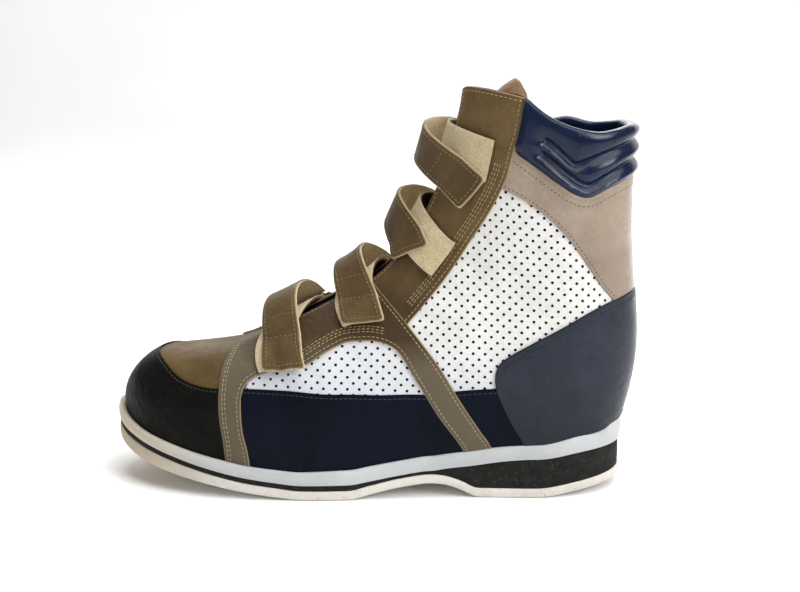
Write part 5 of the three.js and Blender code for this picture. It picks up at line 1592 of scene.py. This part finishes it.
HOLES = {}
for side, name in SIDE_NAMES.items():
    outline = joined(trace(WHITE_OUTLINE + WHITE_OUTLINE[:1], side)[:-1])
    HOLES[name] = punched(outline, side)
    print(name, "holes", len(HOLES[name]))
    piece = panel(f"side_{name}_leather", outline, "front", INSET_UNDERSIDE, WHITE_FACE, white_leather,
                  spacing=3.4, holes=HOLES[name], hole_radius=HOLE_RADIUS)
    declare(piece, "panel_leather")

# %% [markdown]
# ## Lining
# The boot is a hollow shell. Its black lining is seen in the throat, inside the collar and
# through the punched holes, so it is a wall of its own with real thickness, open at the top,
# along the throat and below.

# %% Lining wall
ROW_THROAT = 9.6  # the throat starts at this section, with a round end
THROAT_ROUNDING = 0.9
WALL_OUT = -0.7
WALL_IN = -2.0
WALL_COLUMNS = 60
TOE_WALL_ROWS = np.concatenate([np.linspace(0.12, 1, 8), np.linspace(1.25, ROW_THROAT, 40)])


def top_row(side):
    """Row of the top edge for each share of the way round."""
    line = trace(top_edge(FACING_TOP + COLLAR_TOP[1:], side), side)
    order = np.argsort(np.abs(line[:, 1]))
    return np.abs(line[order, 1]), line[order, 0]


def lining_place(row, share, side, top):
    """Skin place on the wall: rows past the throat's start are shares of the way to the top."""
    if row <= ROW_THROAT:
        return row, side * mix(0.0, bed_at(row, side), share)
    way = row - ROW_THROAT - 1
    s = mix(ROW_THROAT, LAST_ROW - 1, way)
    for _ in range(3):
        half = THROAT_WIDTH / 2 * round_end((s - ROW_THROAT) / THROAT_ROUNDING, 2)
        g = mix(half / girth_at(s, side), bed_at(s, side), share)
        s = mix(ROW_THROAT, np.interp(g, *top), way)
    return float(s), side * float(g)


def lining_wall(name, material):
    """The wall with a closed toe, open at the top, along the throat and below."""
    quads, ids, s_list, g_list = [], {}, [], []

    def vertex(s, g):
        key = tuple(np.round(skin_point(np.array([s]), np.array([g]))[0], 2))
        if key not in ids:
            ids[key] = len(s_list)
            s_list.append(s)
            g_list.append(g)
        return ids[key]

    rows = [*TOE_WALL_ROWS, *(np.linspace(0, 1, 130)[1:] + ROW_THROAT + 1)]
    first_ring = []
    for side in (OUTSIDE, INSIDE):
        top = top_row(side)
        grid = [[vertex(*lining_place(row, j / WALL_COLUMNS, side, top)) for j in range(WALL_COLUMNS + 1)]
                for row in rows]
        first_ring += grid[0] if side == OUTSIDE else grid[0][::-1]
        for a, b in zip(grid, grid[1:]):
            for j in range(WALL_COLUMNS):
                quad = [a[j], a[j + 1], b[j + 1], b[j]]
                face = [v for k, v in enumerate(quad) if v != quad[k - 1]]
                if len(face) >= 3:
                    quads.append(tuple(face) if side == OUTSIDE else tuple(face[::-1]))
    tip = vertex(0.0, 0.0)
    loop = [v for k, v in enumerate(first_ring) if v != first_ring[k - 1]]
    quads += [(tip, b, a) for a, b in zip(loop, loop[1:] + loop[:1]) if a != b]
    return solid_panel(name, s_list, g_list, quads, WALL_IN, WALL_OUT, material)


declare(lining_wall("upper_lining", lining_leather), "panel_leather", "upper")

# %% [markdown]
# ## Padded collar and tongue
# The collar is soft napa sewn over foam in three rolls. A cloth simulation would need its
# channels cut again afterwards, so the rolls are worked out directly: the leather stands up
# with its distance from the nearest seam, as an inflated form does, and rolls over the top.
# The tongue is one pad that follows the ridge and then stands free above it.

# %% Collar
# The two channels between the rolls, in shares of the length and the front height.
CHANNELS = [
    [(0.160, 0.880), (0.151, 0.873), (0.128, 0.847), (0.107, 0.8254),
     (0.075, 0.838), (0.030, 0.860), (-0.020, 0.882), (-0.06, 0.886)],
    [(0.166, 0.850), (0.149, 0.833), (0.115, 0.797), (0.084, 0.775),
     (0.050, 0.795), (0.015, 0.820), (-0.020, 0.838), (-0.06, 0.842)],
]
COLLAR_SWELL = 4.0
COLLAR_COLUMNS = 180
COLLAR_LOW_ROWS = 60
COLLAR_ROLL_ROWS = 10
COLLAR_INSIDE_ROWS = 16
COLLAR_INSIDE_DEPTH = 34.0
COLLAR_END_COLUMNS = 7  # columns over which the foam thins out towards the facing
CHANNEL_SOFTNESS = 1.2
CHANNEL_REACH = 2.6
TOP_REACH = 2.5
ROLL_HEIGHT = 2.3
ROLL_INSIDE_LIFT = -3.6
INSIDE_LIFT = -2.1
ON_WALL_INSIDE_LIFT = -1.2
ON_WALL_LIFT = 0.35
SHAFT_ROW_PITCH = 8.6  # millimetres between sections of the shaft


def resample(line, count):
    """A skin line with its points at even steps in space."""
    arc = distances(on_skin(line))
    at = np.linspace(0, arc[-1], count)
    return np.stack([np.interp(at, arc, line[:, 0]), np.interp(at, arc, line[:, 1])], axis=1)


def collar_ring(low, high, channels, end):
    """One ring of the collar: up its outside, over the top, down the inside and back on the wall."""
    line = mix(low, high, np.linspace(0, 1, COLLAR_LOW_ROWS)[:, None])
    bare = on_skin(line)
    seam_place, top_place = on_skin(np.stack([low, high]))
    far = np.minimum(nearest(bare, channels), np.linalg.norm(bare - seam_place, axis=1) + 0.4)
    soft = np.sqrt(far ** 2 + CHANNEL_SOFTNESS) - CHANNEL_SOFTNESS ** 0.5
    puff = 1 - np.exp(-soft / CHANNEL_REACH)
    lift = 0.5 + COLLAR_SWELL * puff * (0.45 + 0.55 * end)
    near_top = np.exp(-np.linalg.norm(bare - top_place, axis=1) / TOP_REACH)
    outside = on_skin(line, mix(lift, COLLAR_SWELL * 0.8, near_top * 0.8))
    crest = outside[-1]
    across = skin_point(high[0:1], high[1:2], ROLL_INSIDE_LIFT)[0] - crest
    up = np.array([0.0, 0.0, 1.0])
    roll = [crest + across * (1 - math.cos(turn)) / 2 + up * ROLL_HEIGHT * math.sin(turn)
            for turn in np.linspace(0, math.pi, COLLAR_ROLL_ROWS + 2)[1:-1]]
    depth = np.linspace(0, 1, COLLAR_INSIDE_ROWS)
    s_down = high[0] - depth * COLLAR_INSIDE_DEPTH / SHAFT_ROW_PITCH
    g_down = np.full(len(s_down), high[1])
    inside = skin_point(s_down, g_down, mix(ROLL_INSIDE_LIFT, INSIDE_LIFT, smooth(depth * 1.1)))
    back = skin_point(s_down[::-1], g_down, np.full(len(s_down), ON_WALL_INSIDE_LIFT))[:-4]
    under = on_skin(line, np.full(len(line), ON_WALL_LIFT))[::-1][4::3]
    return np.concatenate([outside, np.array(roll), inside, back, under])


def collar_object():
    """The collar as one loft, from the outer facing round the back to the inner facing."""
    halves = []
    for side in (OUTSIDE, INSIDE):
        channels = np.concatenate([on_skin(resample(to_back(trace(pairs, side)), 400)) for pairs in CHANNELS])
        top = resample(to_back(trace(top_edge(COLLAR_TOP, side), side)), COLLAR_COLUMNS)
        seam = resample(to_back(trace(COLLAR_SEAM, side)), COLLAR_COLUMNS)
        halves.append([collar_ring(seam[k], top[k], channels, min(1.0, (k + 0.5) / COLLAR_END_COLUMNS))
                       for k in range(COLLAR_COLUMNS)])
    outer, inner = halves
    return loft_object("collar_pad", outer[:-1] + inner[::-1], collar_leather)


collar = collar_object()
declare(collar, "collar_leather", "collar")

# %% Tongue
TONGUE_WIDTH = 52
TONGUE_THICKNESS = 4.0
TONGUE_FROM = 8.4  # section where it starts, under the vamp
TONGUE_LEAVES = 25.7  # section where it leaves the ridge
TONGUE_REACH = 68.5
TONGUE_LEAN = 0.75
TONGUE_LIFT = -3.5
TONGUE_STEPS = 26
TONGUE_ROUND = 0.2  # share of the free part over which the tip narrows


def ridge_share(row, across):
    """Share of the way round at a distance to the side of the ridge."""
    g = np.linspace(-0.6, 0.6, 81)
    place = skin_point(np.full(81, row), g)
    return np.interp(across, place[:, 1] - middle(place[:, 0]), g)


def tongue_object():
    """The tongue: rows on the ridge, then rows shifted up along its free, leaning line."""
    across = np.sin(np.linspace(-math.pi / 2, math.pi / 2, 25))
    lower_rows = np.linspace(TONGUE_FROM, TONGUE_LEAVES, 46)
    leave = skin_point(np.array([TONGUE_LEAVES - 0.4, TONGUE_LEAVES]), np.zeros(2))
    slope_from = math.atan2(*(leave[1] - leave[0])[[2, 0]])
    shift = np.zeros(3)
    rows = [(row, np.zeros(3), 1.0) for row in lower_rows]
    for i in range(1, TONGUE_STEPS + 1):
        slope = mix(slope_from, TONGUE_LEAN, smooth(i / TONGUE_STEPS))
        shift = shift + np.array([math.cos(slope), 0, math.sin(slope)]) * TONGUE_REACH / TONGUE_STEPS
        left = 1 - i / TONGUE_STEPS
        width = 1
        if left <= TONGUE_ROUND:
            width = math.sqrt(max(0.0, 1 - (1 - left / TONGUE_ROUND) ** 2)) * 0.45 + 0.55
        rows.append((TONGUE_LEAVES, shift, width))
    rings = []
    thick = TONGUE_THICKNESS / 2 * (1 - np.abs(across) ** 6) ** 0.5
    middle_lift = TONGUE_LIFT - TONGUE_THICKNESS / 2
    for i, (row, shift, width) in enumerate(rows):
        puff = 1 + 0.25 * max(0.0, (i - len(lower_rows)) / TONGUE_STEPS)
        end = min(1.0, (len(rows) - 1 - i + 0.15) / 3.0) ** 0.5
        half = thick * puff * end
        g = ridge_share(row, across * TONGUE_WIDTH / 2 * width)
        top = skin_point(np.full(len(g), row), g, middle_lift + half) + shift
        low = skin_point(np.full(len(g), row), g, middle_lift - half) + shift
        rings.append(np.concatenate([top, low[::-1][1:-1]]))
    return loft_object("tongue_pad", rings, tongue_leather)


tongue = tongue_object()
declare(tongue, "tongue_leather", "tongue")

# %% [markdown]
# ## Straps, rings and chapes
# A strap is leather outside and loop pile inside. It is sewn down on the outer side, crosses
# the throat with its pile up, turns round a ring on the inner side and comes back over itself
# with the leather up, where it sticks. Leather and pile are two ribbons with the same path.

# %% Paths of the bands
# Each strap: its section on the ridge, how far round its sewn end and its tip lie, how far its
# sewn end and its tip lie along the foot, in millimetres, as (row, fixed, lead, tip, skew).
CLOSURES = [
    (10.5, 47.0, 17.0, 49.5, 15.0),
    (14.4, 37.0, 14.5, 38.5, 15.0),
    (21.0, 40.5, 13.5, 22.0, 21.0),
    (28.2, 44.0, 0.5, 39.0, 21.0),
]
STRAP_WIDTH = 23
STRAP_HALF = 0.9  # half its thickness
PILE_FROM = 0.15  # the leather ends and the pile starts at this depth
LIE = 3.3  # lift of a band's middle on the facing
OVER = 5.5  # lift of its returned end
BAR = 25.0  # girth of the bar that the strap turns round
FAR_BAR = 37.0  # and of the bar that the chape holds
RING_PLACE = 31.0
RING_LIFT = 5.8
TURN_TOP = 11.0
TURN_REACH = 3.7
RING_ROOM = 3.0
STRAP_SLACK = 8.0  # the returned end bows up by this much
SWING = 1.25
SETTLED = 0.62  # share of the returned end after which it lies flat
CHAPE_LENGTH = 14.0
CHAPE_WIDTH = 21
RING_OPENING = 9.0
RING_BAR = 3.0


def round_bar(bar, sense, steps=12):
    """Half a turn round a ring bar, from below to above."""
    turn = np.linspace(0, math.pi, steps)
    lift = mix(LIE, TURN_TOP, (1 - np.cos(turn)) / 2)
    return np.stack([bar + sense * TURN_REACH * np.sin(turn), lift, 0 * turn], axis=1)


def strap_path(fixed, lead, tip, skew):
    """Girth, lift and shift along one strap, from its sewn end to its tip."""
    share = np.linspace(0, 1, 44)
    girth = mix(-fixed, BAR - RING_ROOM, share)
    lower = np.stack([girth, LIE + 0 * share, -lead * (1 - smooth(share))], axis=1)
    share = np.linspace(0, 1, 50)[1:]
    girth = mix(BAR - RING_ROOM, -tip, share)
    settling = np.clip((BAR - girth) / (BAR + tip * SETTLED), 0, 1)
    lift = mix(TURN_TOP, OVER, smooth(settling)) + STRAP_SLACK * np.sin(math.pi * settling)
    upper = np.stack([girth, lift, -skew * share ** SWING], axis=1)
    return np.concatenate([lower, round_bar(BAR, 1), upper])


def chape_path():
    """The same for a chape, which is sewn down beyond the ring."""
    end = FAR_BAR + CHAPE_LENGTH
    share = np.linspace(0, 1, 14)
    lower = np.stack([mix(end, FAR_BAR, share), LIE + 0 * share, 0 * share], axis=1)
    share = share[1:]
    girth = mix(FAR_BAR, end - RING_ROOM, share)
    upper = np.stack([girth, mix(TURN_TOP, OVER, smooth(share)), 0 * share], axis=1)
    return np.concatenate([lower[:-1], round_bar(FAR_BAR, -1), upper])


def band_frame(path):
    """Directions across and turned sideways along a path."""
    before = path[np.maximum(np.arange(len(path)) - 1, 0)]
    after = path[np.minimum(np.arange(len(path)) + 1, len(path) - 1)]
    run = after - before
    length = np.maximum(np.hypot(run[:, 0], run[:, 1]), 1e-9)
    across = np.stack([-run[:, 1], run[:, 0]], axis=1) / length[:, None]
    slope = run[:, 2] / np.where(run[:, 0] == 0, 1e9, run[:, 0])
    swing = np.where(np.abs(run[:, 2]) < 1e-9, 0, np.arctan(slope))
    return across, swing


def band_point(frame_, path, across, swing, wide, deep):
    """Points of a band: `wide` is its place across its width, `deep` through its thickness."""
    shift = path[:, 2] + wide * np.cos(swing)
    girth = path[:, 0] - wide * np.sin(swing) + across[:, 0] * deep
    lift = path[:, 1] + across[:, 1] * deep
    return closure_point(frame_, shift, girth, lift)


BAND_COLUMNS = 11
BAND_ROUNDING = 0.3


def ribbon(name, frame_, path, half, low, high, material, round_tip):
    """A closed ribbon between two depths, with rounded long edges and rounded tip corners."""
    across, swing = band_frame(path)
    arc = distances(path[:, :2])
    left = arc[-1] - arc
    tip_half = np.full(len(path), float(half))
    near = left < round_tip
    round_off = np.maximum(round_tip ** 2 - (round_tip - left[near]) ** 2, 0.01)
    tip_half[near] = half - round_tip + np.sqrt(round_off)
    shares = np.sin(np.linspace(-math.pi / 2, math.pi / 2, BAND_COLUMNS))
    columns, edges = [], []
    for order, face, way in ((shares, high, -1), (shares[::-1], low, 1)):
        for share in order:
            deep = face + way * (BAND_ROUNDING if abs(share) > 0.999 else 0)
            columns.append(band_point(frame_, path, across, swing, share * tip_half, deep))
            edges.append(np.minimum((1 - abs(share)) * tip_half, left + BAND_ROUNDING))
    piece = loft_object(name, np.stack(columns, axis=1), material)
    return with_edge(piece, np.clip(np.stack(edges, axis=1).ravel() / EDGE_FADE, 0, 1))


WIRE_RADIUS = 1.45
WIRE_SIDES = 10
RING_CORNER = 3.0


def ring_wire(name, frame_, material):
    """A rectangular wire ring with round corners, in the closure's frame."""
    wide = STRAP_WIDTH / 2 + 1 + RING_BAR / 2 - RING_CORNER
    high = RING_OPENING / 2 + RING_BAR / 2 - RING_CORNER
    line = []
    for number, (cx, cy) in enumerate(((wide, high), (-wide, high), (-wide, -high), (wide, -high))):
        for turn in np.linspace(0, math.pi / 2, 7):
            angle = number * math.pi / 2 + turn
            line.append((cx + RING_CORNER * math.cos(angle), cy + RING_CORNER * math.sin(angle)))
    line = even_line(np.array(line + line[:1]), 1.6)[:-1]
    centre, over = (closure_point(frame_, line[:, 0], RING_PLACE + line[:, 1], np.full(len(line), lift))
                    for lift in (RING_LIFT + 1.5, RING_LIFT + 4.5))
    up = over - centre
    up /= np.linalg.norm(up, axis=1, keepdims=True)
    run = np.roll(centre, -1, axis=0) - np.roll(centre, 1, axis=0)
    run /= np.linalg.norm(run, axis=1, keepdims=True)
    out = np.cross(run, up)
    out /= np.linalg.norm(out, axis=1, keepdims=True)
    angle = (np.arange(WIRE_SIDES) * 2 * math.pi / WIRE_SIDES)[None, :, None]
    rings = centre[:, None] + WIRE_RADIUS * (np.cos(angle) * out[:, None] + np.sin(angle) * up[:, None])
    return loft_object(name, rings, material, cyclic=True)


# %% The four closures
PILE_PROUD = 0.6
STRAP_FRAMES = []
for number, (row, fixed, lead, tip, skew) in enumerate(CLOSURES, 1):
    frame_ = closure_frame(row)
    path = strap_path(fixed, lead, tip, skew)
    STRAP_FRAMES.append((frame_, path))
    skin_side = ribbon(f"strap_{number}_leather", frame_, path, STRAP_WIDTH / 2, -STRAP_HALF, PILE_FROM,
                       strap_leather, 1.2)
    declare(skin_side, "strap_leather", f"strap_{number}")
    # The pile stands a little proud of the leather at its edges and its tip.
    beyond = path[-1:] + (path[-1:] - path[-2:-1]) * 0.5
    pile_side = ribbon(f"strap_{number}_pile", frame_, np.concatenate([path, beyond]),
                       STRAP_WIDTH / 2 + PILE_PROUD, PILE_FROM, STRAP_HALF, pile, 1.4)
    declare(pile_side, "strap_leather")
    chape = ribbon(f"chape_{number}_leather", frame_, chape_path(), CHAPE_WIDTH / 2,
                   -STRAP_HALF, STRAP_HALF, strap_leather, 2.0)
    declare(chape, "strap_leather", f"chape_{number}")
    declare(ring_wire(f"ring_{number}_wire", frame_, ring_metal), "ring_metal", f"ring_{number}")

# %% [markdown]
# ## Thread
# A shoe has several metres of lock-stitching. One Geometry Nodes tree sews it all: it turns a
# mesh line into a curve, marks it off at the stitch's pitch, and lays a small spindle of
# thread along the curve at every mark.

# %% The stitching tree
def stitch_tree():
    """Node group that lays one stitch at every pitch along the lines of a mesh."""
    tree = bpy.data.node_groups.new("sewn_rows", "GeometryNodeTree")
    face = tree.interface
    face.new_socket("Rows", in_out="INPUT", socket_type="NodeSocketGeometry")
    for label in ("Pitch", "Stitch length", "Thread radius"):
        face.new_socket(label, in_out="INPUT", socket_type="NodeSocketFloat")
    face.new_socket("Thread", in_out="INPUT", socket_type="NodeSocketMaterial")
    face.new_socket("Sewn", in_out="OUTPUT", socket_type="NodeSocketGeometry")
    given = add(tree, "NodeGroupInput").outputs
    curve = add(tree, "GeometryNodeMeshToCurve", {"Mesh": given["Rows"]}).outputs[0]
    marks = add(tree, "GeometryNodeResampleCurve", {"Curve": curve, "Length": given["Pitch"]},
                mode="LENGTH").outputs[0]
    spindle = add(tree, "GeometryNodeMeshUVSphere", {"Segments": 6, "Rings": 4, "Radius": 1.0}).outputs[0]
    tangent = add(tree, "GeometryNodeInputTangent").outputs[0]
    turn = add(tree, "FunctionNodeAlignRotationToVector", {"Vector": tangent}, axis="Z").outputs[0]
    half = add(tree, "ShaderNodeMath", {0: given["Stitch length"], 1: 0.5}, operation="MULTIPLY").outputs[0]
    size = add(tree, "ShaderNodeCombineXYZ", {
        "X": given["Thread radius"], "Y": given["Thread radius"], "Z": half}).outputs[0]
    laid = add(tree, "GeometryNodeInstanceOnPoints", {
        "Points": marks, "Instance": spindle, "Rotation": turn, "Scale": size}).outputs[0]
    real = add(tree, "GeometryNodeRealizeInstances", {"Geometry": laid}).outputs[0]
    smooth_real = add(tree, "GeometryNodeSetShadeSmooth", {"Geometry": real}).outputs[0]
    sewn = add(tree, "GeometryNodeSetMaterial", {"Geometry": smooth_real, "Material": given["Thread"]})
    add(tree, "NodeGroupOutput", {"Sewn": sewn.outputs[0]})
    return tree


sewn_rows = stitch_tree()


def set_input(modifier, tree, label, value):
    """Set a modifier's input by its socket's identifier."""
    inputs = [item for item in tree.interface.items_tree if item.in_out == "INPUT"]
    socket = next(item for item in inputs if item.name == label)
    modifier[socket.identifier] = value


def grown_mesh(name, lines, tree, inputs, slot, outward=None):
    """Run a tree on mesh lines and keep its result as a plain mesh piece."""
    mesh = bpy.data.meshes.new(name + "_lines")
    points, edges = [], []
    for line in lines:
        start = len(points)
        points += (np.asarray(line) * MM).tolist()
        edges += [(start + i, start + i + 1) for i in range(len(line) - 1)]
    mesh.from_pydata(points, edges, [])
    if outward is not None:
        layer = mesh.attributes.new("outward", "FLOAT_VECTOR", "POINT")
        layer.data.foreach_set("vector", np.asarray(outward, np.float32).ravel())
    source = bpy.data.objects.new(name + "_lines", mesh)
    bpy.context.scene.collection.objects.link(source)
    modifier = source.modifiers.new("grown", "NODES")
    modifier.node_group = tree
    for label, value in inputs.items():
        set_input(modifier, tree, label, value)
    graph = bpy.context.evaluated_depsgraph_get()
    result = bpy.data.meshes.new_from_object(source.evaluated_get(graph))
    source.modifiers.clear()
    bpy.data.objects.remove(source)
    piece = bpy.data.objects.new(name, result)
    bpy.context.scene.collection.objects.link(piece)
    return declare(piece, slot)


def sew(name, lines, slot, thread, pitch, length, radius):
    """Rows of stitches along lines of points in millimetres."""
    return grown_mesh(name, lines, sewn_rows, {
        "Pitch": pitch * MM, "Stitch length": length * MM, "Thread radius": radius * MM,
        "Thread": thread}, slot)


# %% Rows on the panels
SEAM_POINTS_STEP = 0.9
ROW_TRIM = 1.5  # a row stops this far before the end of its edge


def seam_row(line, distance, lift, start=0.0, end=1.0):
    """A row of stitching beside a cut edge, as points in space, between two shares of it."""
    fine = resample(line, max(6, int(len(line) * TRACE_STEP / SEAM_POINTS_STEP)))
    fine = moved_sideways(fine, distance, False)
    place = skin_point(fine[:, 0], wrap(fine[:, 1]), lift)
    arc = distances(place)
    inside = (arc > max(ROW_TRIM, start * arc[-1])) & (arc < min(arc[-1] - ROW_TRIM, end * arc[-1]))
    return place[inside]


# Lifts of the rows off the last: in the groove beside an edge, and on the face beyond it.
LOWER_LIFT = 1.64
LOWER_FACE_LIFT = 1.72
UPPER_LIFT = 1.34
UPPER_FACE_LIFT = 1.42
COUNTER_LIFTS = (1.62, 1.68)
LOW_LIFT = 1.02
QUARTER_LIFTS = (1.2, 1.25)
RAND_LIFT = 1.42
# Rows of the facing: line, distance in from it, lift, and the shares where the row starts and ends.
FACING_ROWS = [
    ("front", 2.3, LOWER_LIFT, 0, 1), ("front", 4.0, LOWER_LIFT, 0, 1), ("arch", 2.3, LOWER_LIFT, 0, 1),
    ("strip", 2.3, LOWER_LIFT, 0, 1), ("throat", -2.3, LOWER_LIFT, 0, 1),
    ("arch", 5.2, LOWER_FACE_LIFT, 0.36, 0.62), ("arch", 6.8, LOWER_FACE_LIFT, 0.36, 0.62),
    ("arch", 8.4, LOWER_FACE_LIFT, 0.36, 0.62), ("upper_throat", 2.3, UPPER_LIFT, 0, 1),
    ("top", -2.3, UPPER_LIFT, 0, 1), ("upper_rear", -2.3, UPPER_LIFT, 0, 1),
    ("upper_rear", -5.4, UPPER_FACE_LIFT, 0.27, 0.93), ("upper_rear", -7.0, UPPER_FACE_LIFT, 0.27, 0.93),
    ("upper_rear", -8.6, UPPER_FACE_LIFT, 0.27, 0.93),
]
for side, name in SIDE_NAMES.items():
    turn = 1 if side == OUTSIDE else -1
    rows = [seam_row(FACING_LINES[name][line], turn * off, lift, start, end)
            for line, off, lift, start, end in FACING_ROWS]
    sew(f"facing_{name}_thread", rows, "facing_leather", tan_thread, pitch=2.7, length=2.1, radius=0.3)
    edge = quarter_edge_outer if side == OUTSIDE else quarter_edge_inner
    collar_line = to_back(trace(COLLAR_SEAM, side))
    rows = [seam_row(collar_line, -turn * 1.4, QUARTER_LIFTS[1])]
    sew(f"quarter_{name}_thread", rows, "quarter_leather", tan_thread, pitch=2.5, length=1.9, radius=0.28)
    rows = [seam_row(edge, turn * 2.0, QUARTER_LIFTS[0]),
            seam_row(collar_line, -turn * 4.2, QUARTER_LIFTS[0])]
    sew(f"quarter_{name}_dots", rows, "quarter_leather", dark_thread, pitch=2.6, length=1.3, radius=0.26)
    edge = counter_outer if side == OUTSIDE else counter_inner
    rows = [seam_row(edge, turn * off, lift) for off, lift in zip((2.6, 4.4), COUNTER_LIFTS)]
    rows += [seam_row(LOW_LINES[name, part], -turn * 2.4, LOW_LIFT) for part in LOW_PANELS]
    sew(f"counter_{name}_thread", rows, "counter_leather", navy_thread, pitch=2.8, length=2.3, radius=0.32)
sew("rand_thread", [seam_row(plug_line, 2.0, RAND_LIFT)], "rand_leather", dark_thread,
    pitch=2.6, length=2.0, radius=0.28)

# %% Rows on the straps
# Distances from the tip, in millimetres, where a row crosses each strap to hold the pile.
CROSS_ROWS = [(19.0, 31.5), (15.0, 27.0), (), (26.0,)]
STRAP_SEAM = 2.1


def strap_rows(frame_, path, crossings):
    """Stitching round the returned layer of a strap, and across it."""
    across, swing = band_frame(path)
    arc = distances(path)
    left = arc[-1] - arc
    near = np.arange(len(path)) > np.argmax(path[:, 0]) + 5
    half = STRAP_WIDTH / 2 - STRAP_SEAM

    def at(wide, where):
        """Points at places across the strap and distances from its tip."""
        pick = np.array([np.interp(arc[-1] - where, arc, path[:, k]) for k in range(3)]).T
        turned = np.array([np.interp(arc[-1] - where, arc, across[:, k]) for k in range(2)]).T
        swung = np.interp(arc[-1] - where, arc, swing)
        return band_point(frame_, pick, turned, swung, wide, -STRAP_HALF - 0.02)

    down = np.arange(left[near].max() - 4, STRAP_SEAM, -SEAM_POINTS_STEP)
    wide = np.linspace(-half, half, 22)
    border = [at(np.full(len(down), -half), down), at(wide, np.full(22, STRAP_SEAM)),
              at(np.full(len(down), half), down[::-1])]
    return [np.concatenate(border)] + [at(wide, np.full(22, where)) for where in crossings]


for number, (frame_, path) in enumerate(STRAP_FRAMES, 1):
    sew(f"strap_{number}_thread", strap_rows(frame_, path, CROSS_ROWS[number - 1]), "strap_leather",
        brown_thread, pitch=2.7, length=2.0, radius=0.27)

# %% [markdown]
# ## Punched holes
# The holes are cut right through the white panels. A dark cup sits in each one and covers the hole's
# white walls: it stands for the real boot's black lining and is painted shade of the hole's depth, so the
# hole reads as black from every side.


# %% Cups in the holes
def cup_tree():
    """Node group that sets a low round cup on every point, square to its normal."""
    tree = bpy.data.node_groups.new("hole_cups", "GeometryNodeTree")
    face = tree.interface
    face.new_socket("Holes", in_out="INPUT", socket_type="NodeSocketGeometry")
    face.new_socket("Cup radius", in_out="INPUT", socket_type="NodeSocketFloat")
    face.new_socket("Cup depth", in_out="INPUT", socket_type="NodeSocketFloat")
    # The cups' finish stands for the black lining and is painted shade of the hole's depth.
    face.new_socket("Lining", in_out="INPUT", socket_type="NodeSocketMaterial")
    face.new_socket("Cups", in_out="OUTPUT", socket_type="NodeSocketGeometry")
    given = add(tree, "NodeGroupInput").outputs
    cup = add(tree, "GeometryNodeMeshCylinder", {
        "Vertices": HOLE_SIDES, "Radius": given["Cup radius"], "Depth": given["Cup depth"]}).outputs["Mesh"]
    outward = add(tree, "GeometryNodeInputNamedAttribute", data_type="FLOAT_VECTOR")
    outward.inputs["Name"].default_value = "outward"
    turn = add(tree, "FunctionNodeAlignRotationToVector", {"Vector": outward.outputs["Attribute"]},
               axis="Z").outputs[0]
    laid = add(tree, "GeometryNodeInstanceOnPoints", {
        "Points": given["Holes"], "Instance": cup, "Rotation": turn}).outputs[0]
    real = add(tree, "GeometryNodeRealizeInstances", {"Geometry": laid}).outputs[0]
    lined = add(tree, "GeometryNodeSetMaterial", {"Geometry": real, "Material": given["Lining"]})
    add(tree, "NodeGroupOutput", {"Cups": lined.outputs[0]})
    return tree


hole_cups = cup_tree()
CUP_DEPTH = 0.5
CUP_LIFT = -0.30
CUP_ROOM = 0.04  # a cup is this much wider than its hole
for side, name in SIDE_NAMES.items():
    outward = on_skin(HOLES[name], 1.0) - on_skin(HOLES[name])
    grown_mesh(f"holes_{name}_cups", [[p] for p in on_skin(HOLES[name], CUP_LIFT)], hole_cups, {
        "Cup radius": (HOLE_RADIUS + CUP_ROOM) * MM, "Cup depth": CUP_DEPTH * MM, "Lining": hole_black},
        "panel_leather", outward)

# %% [markdown]
# ## Floor
# The boot stands on a pale sweep.

# %% Floor, in metres
SWEEP_HALF_WIDTH = 3.5
SWEEP_FRONT = -2.2
SWEEP_BACK = 2.0
SWEEP_RADIUS = 0.6
SWEEP_TOP = 2.4
FLOOR_GAP = 0.05  # millimetres under the outsole


def sweep():
    """A pale floor that curves up behind the boot."""
    bend = SWEEP_BACK - SWEEP_RADIUS
    profile = [(SWEEP_FRONT, 0.0), (bend, 0.0)]
    for turn in np.linspace(0, math.pi / 2, 12)[1:]:
        profile.append((bend + SWEEP_RADIUS * math.sin(turn), SWEEP_RADIUS - SWEEP_RADIUS * math.cos(turn)))
    profile.append((SWEEP_BACK, SWEEP_TOP))
    points = [(x / MM, y / MM, z / MM - FLOOR_GAP) for y, z in profile
              for x in (-SWEEP_HALF_WIDTH, SWEEP_HALF_WIDTH)]
    faces = [(2 * i, 2 * i + 1, 2 * i + 3, 2 * i + 2) for i in range(len(profile) - 1)]
    floor = new_object("studio_sweep", points, faces, floor_card)
    floor.data.set_sharp_from_angle(angle=math.pi)


sweep()
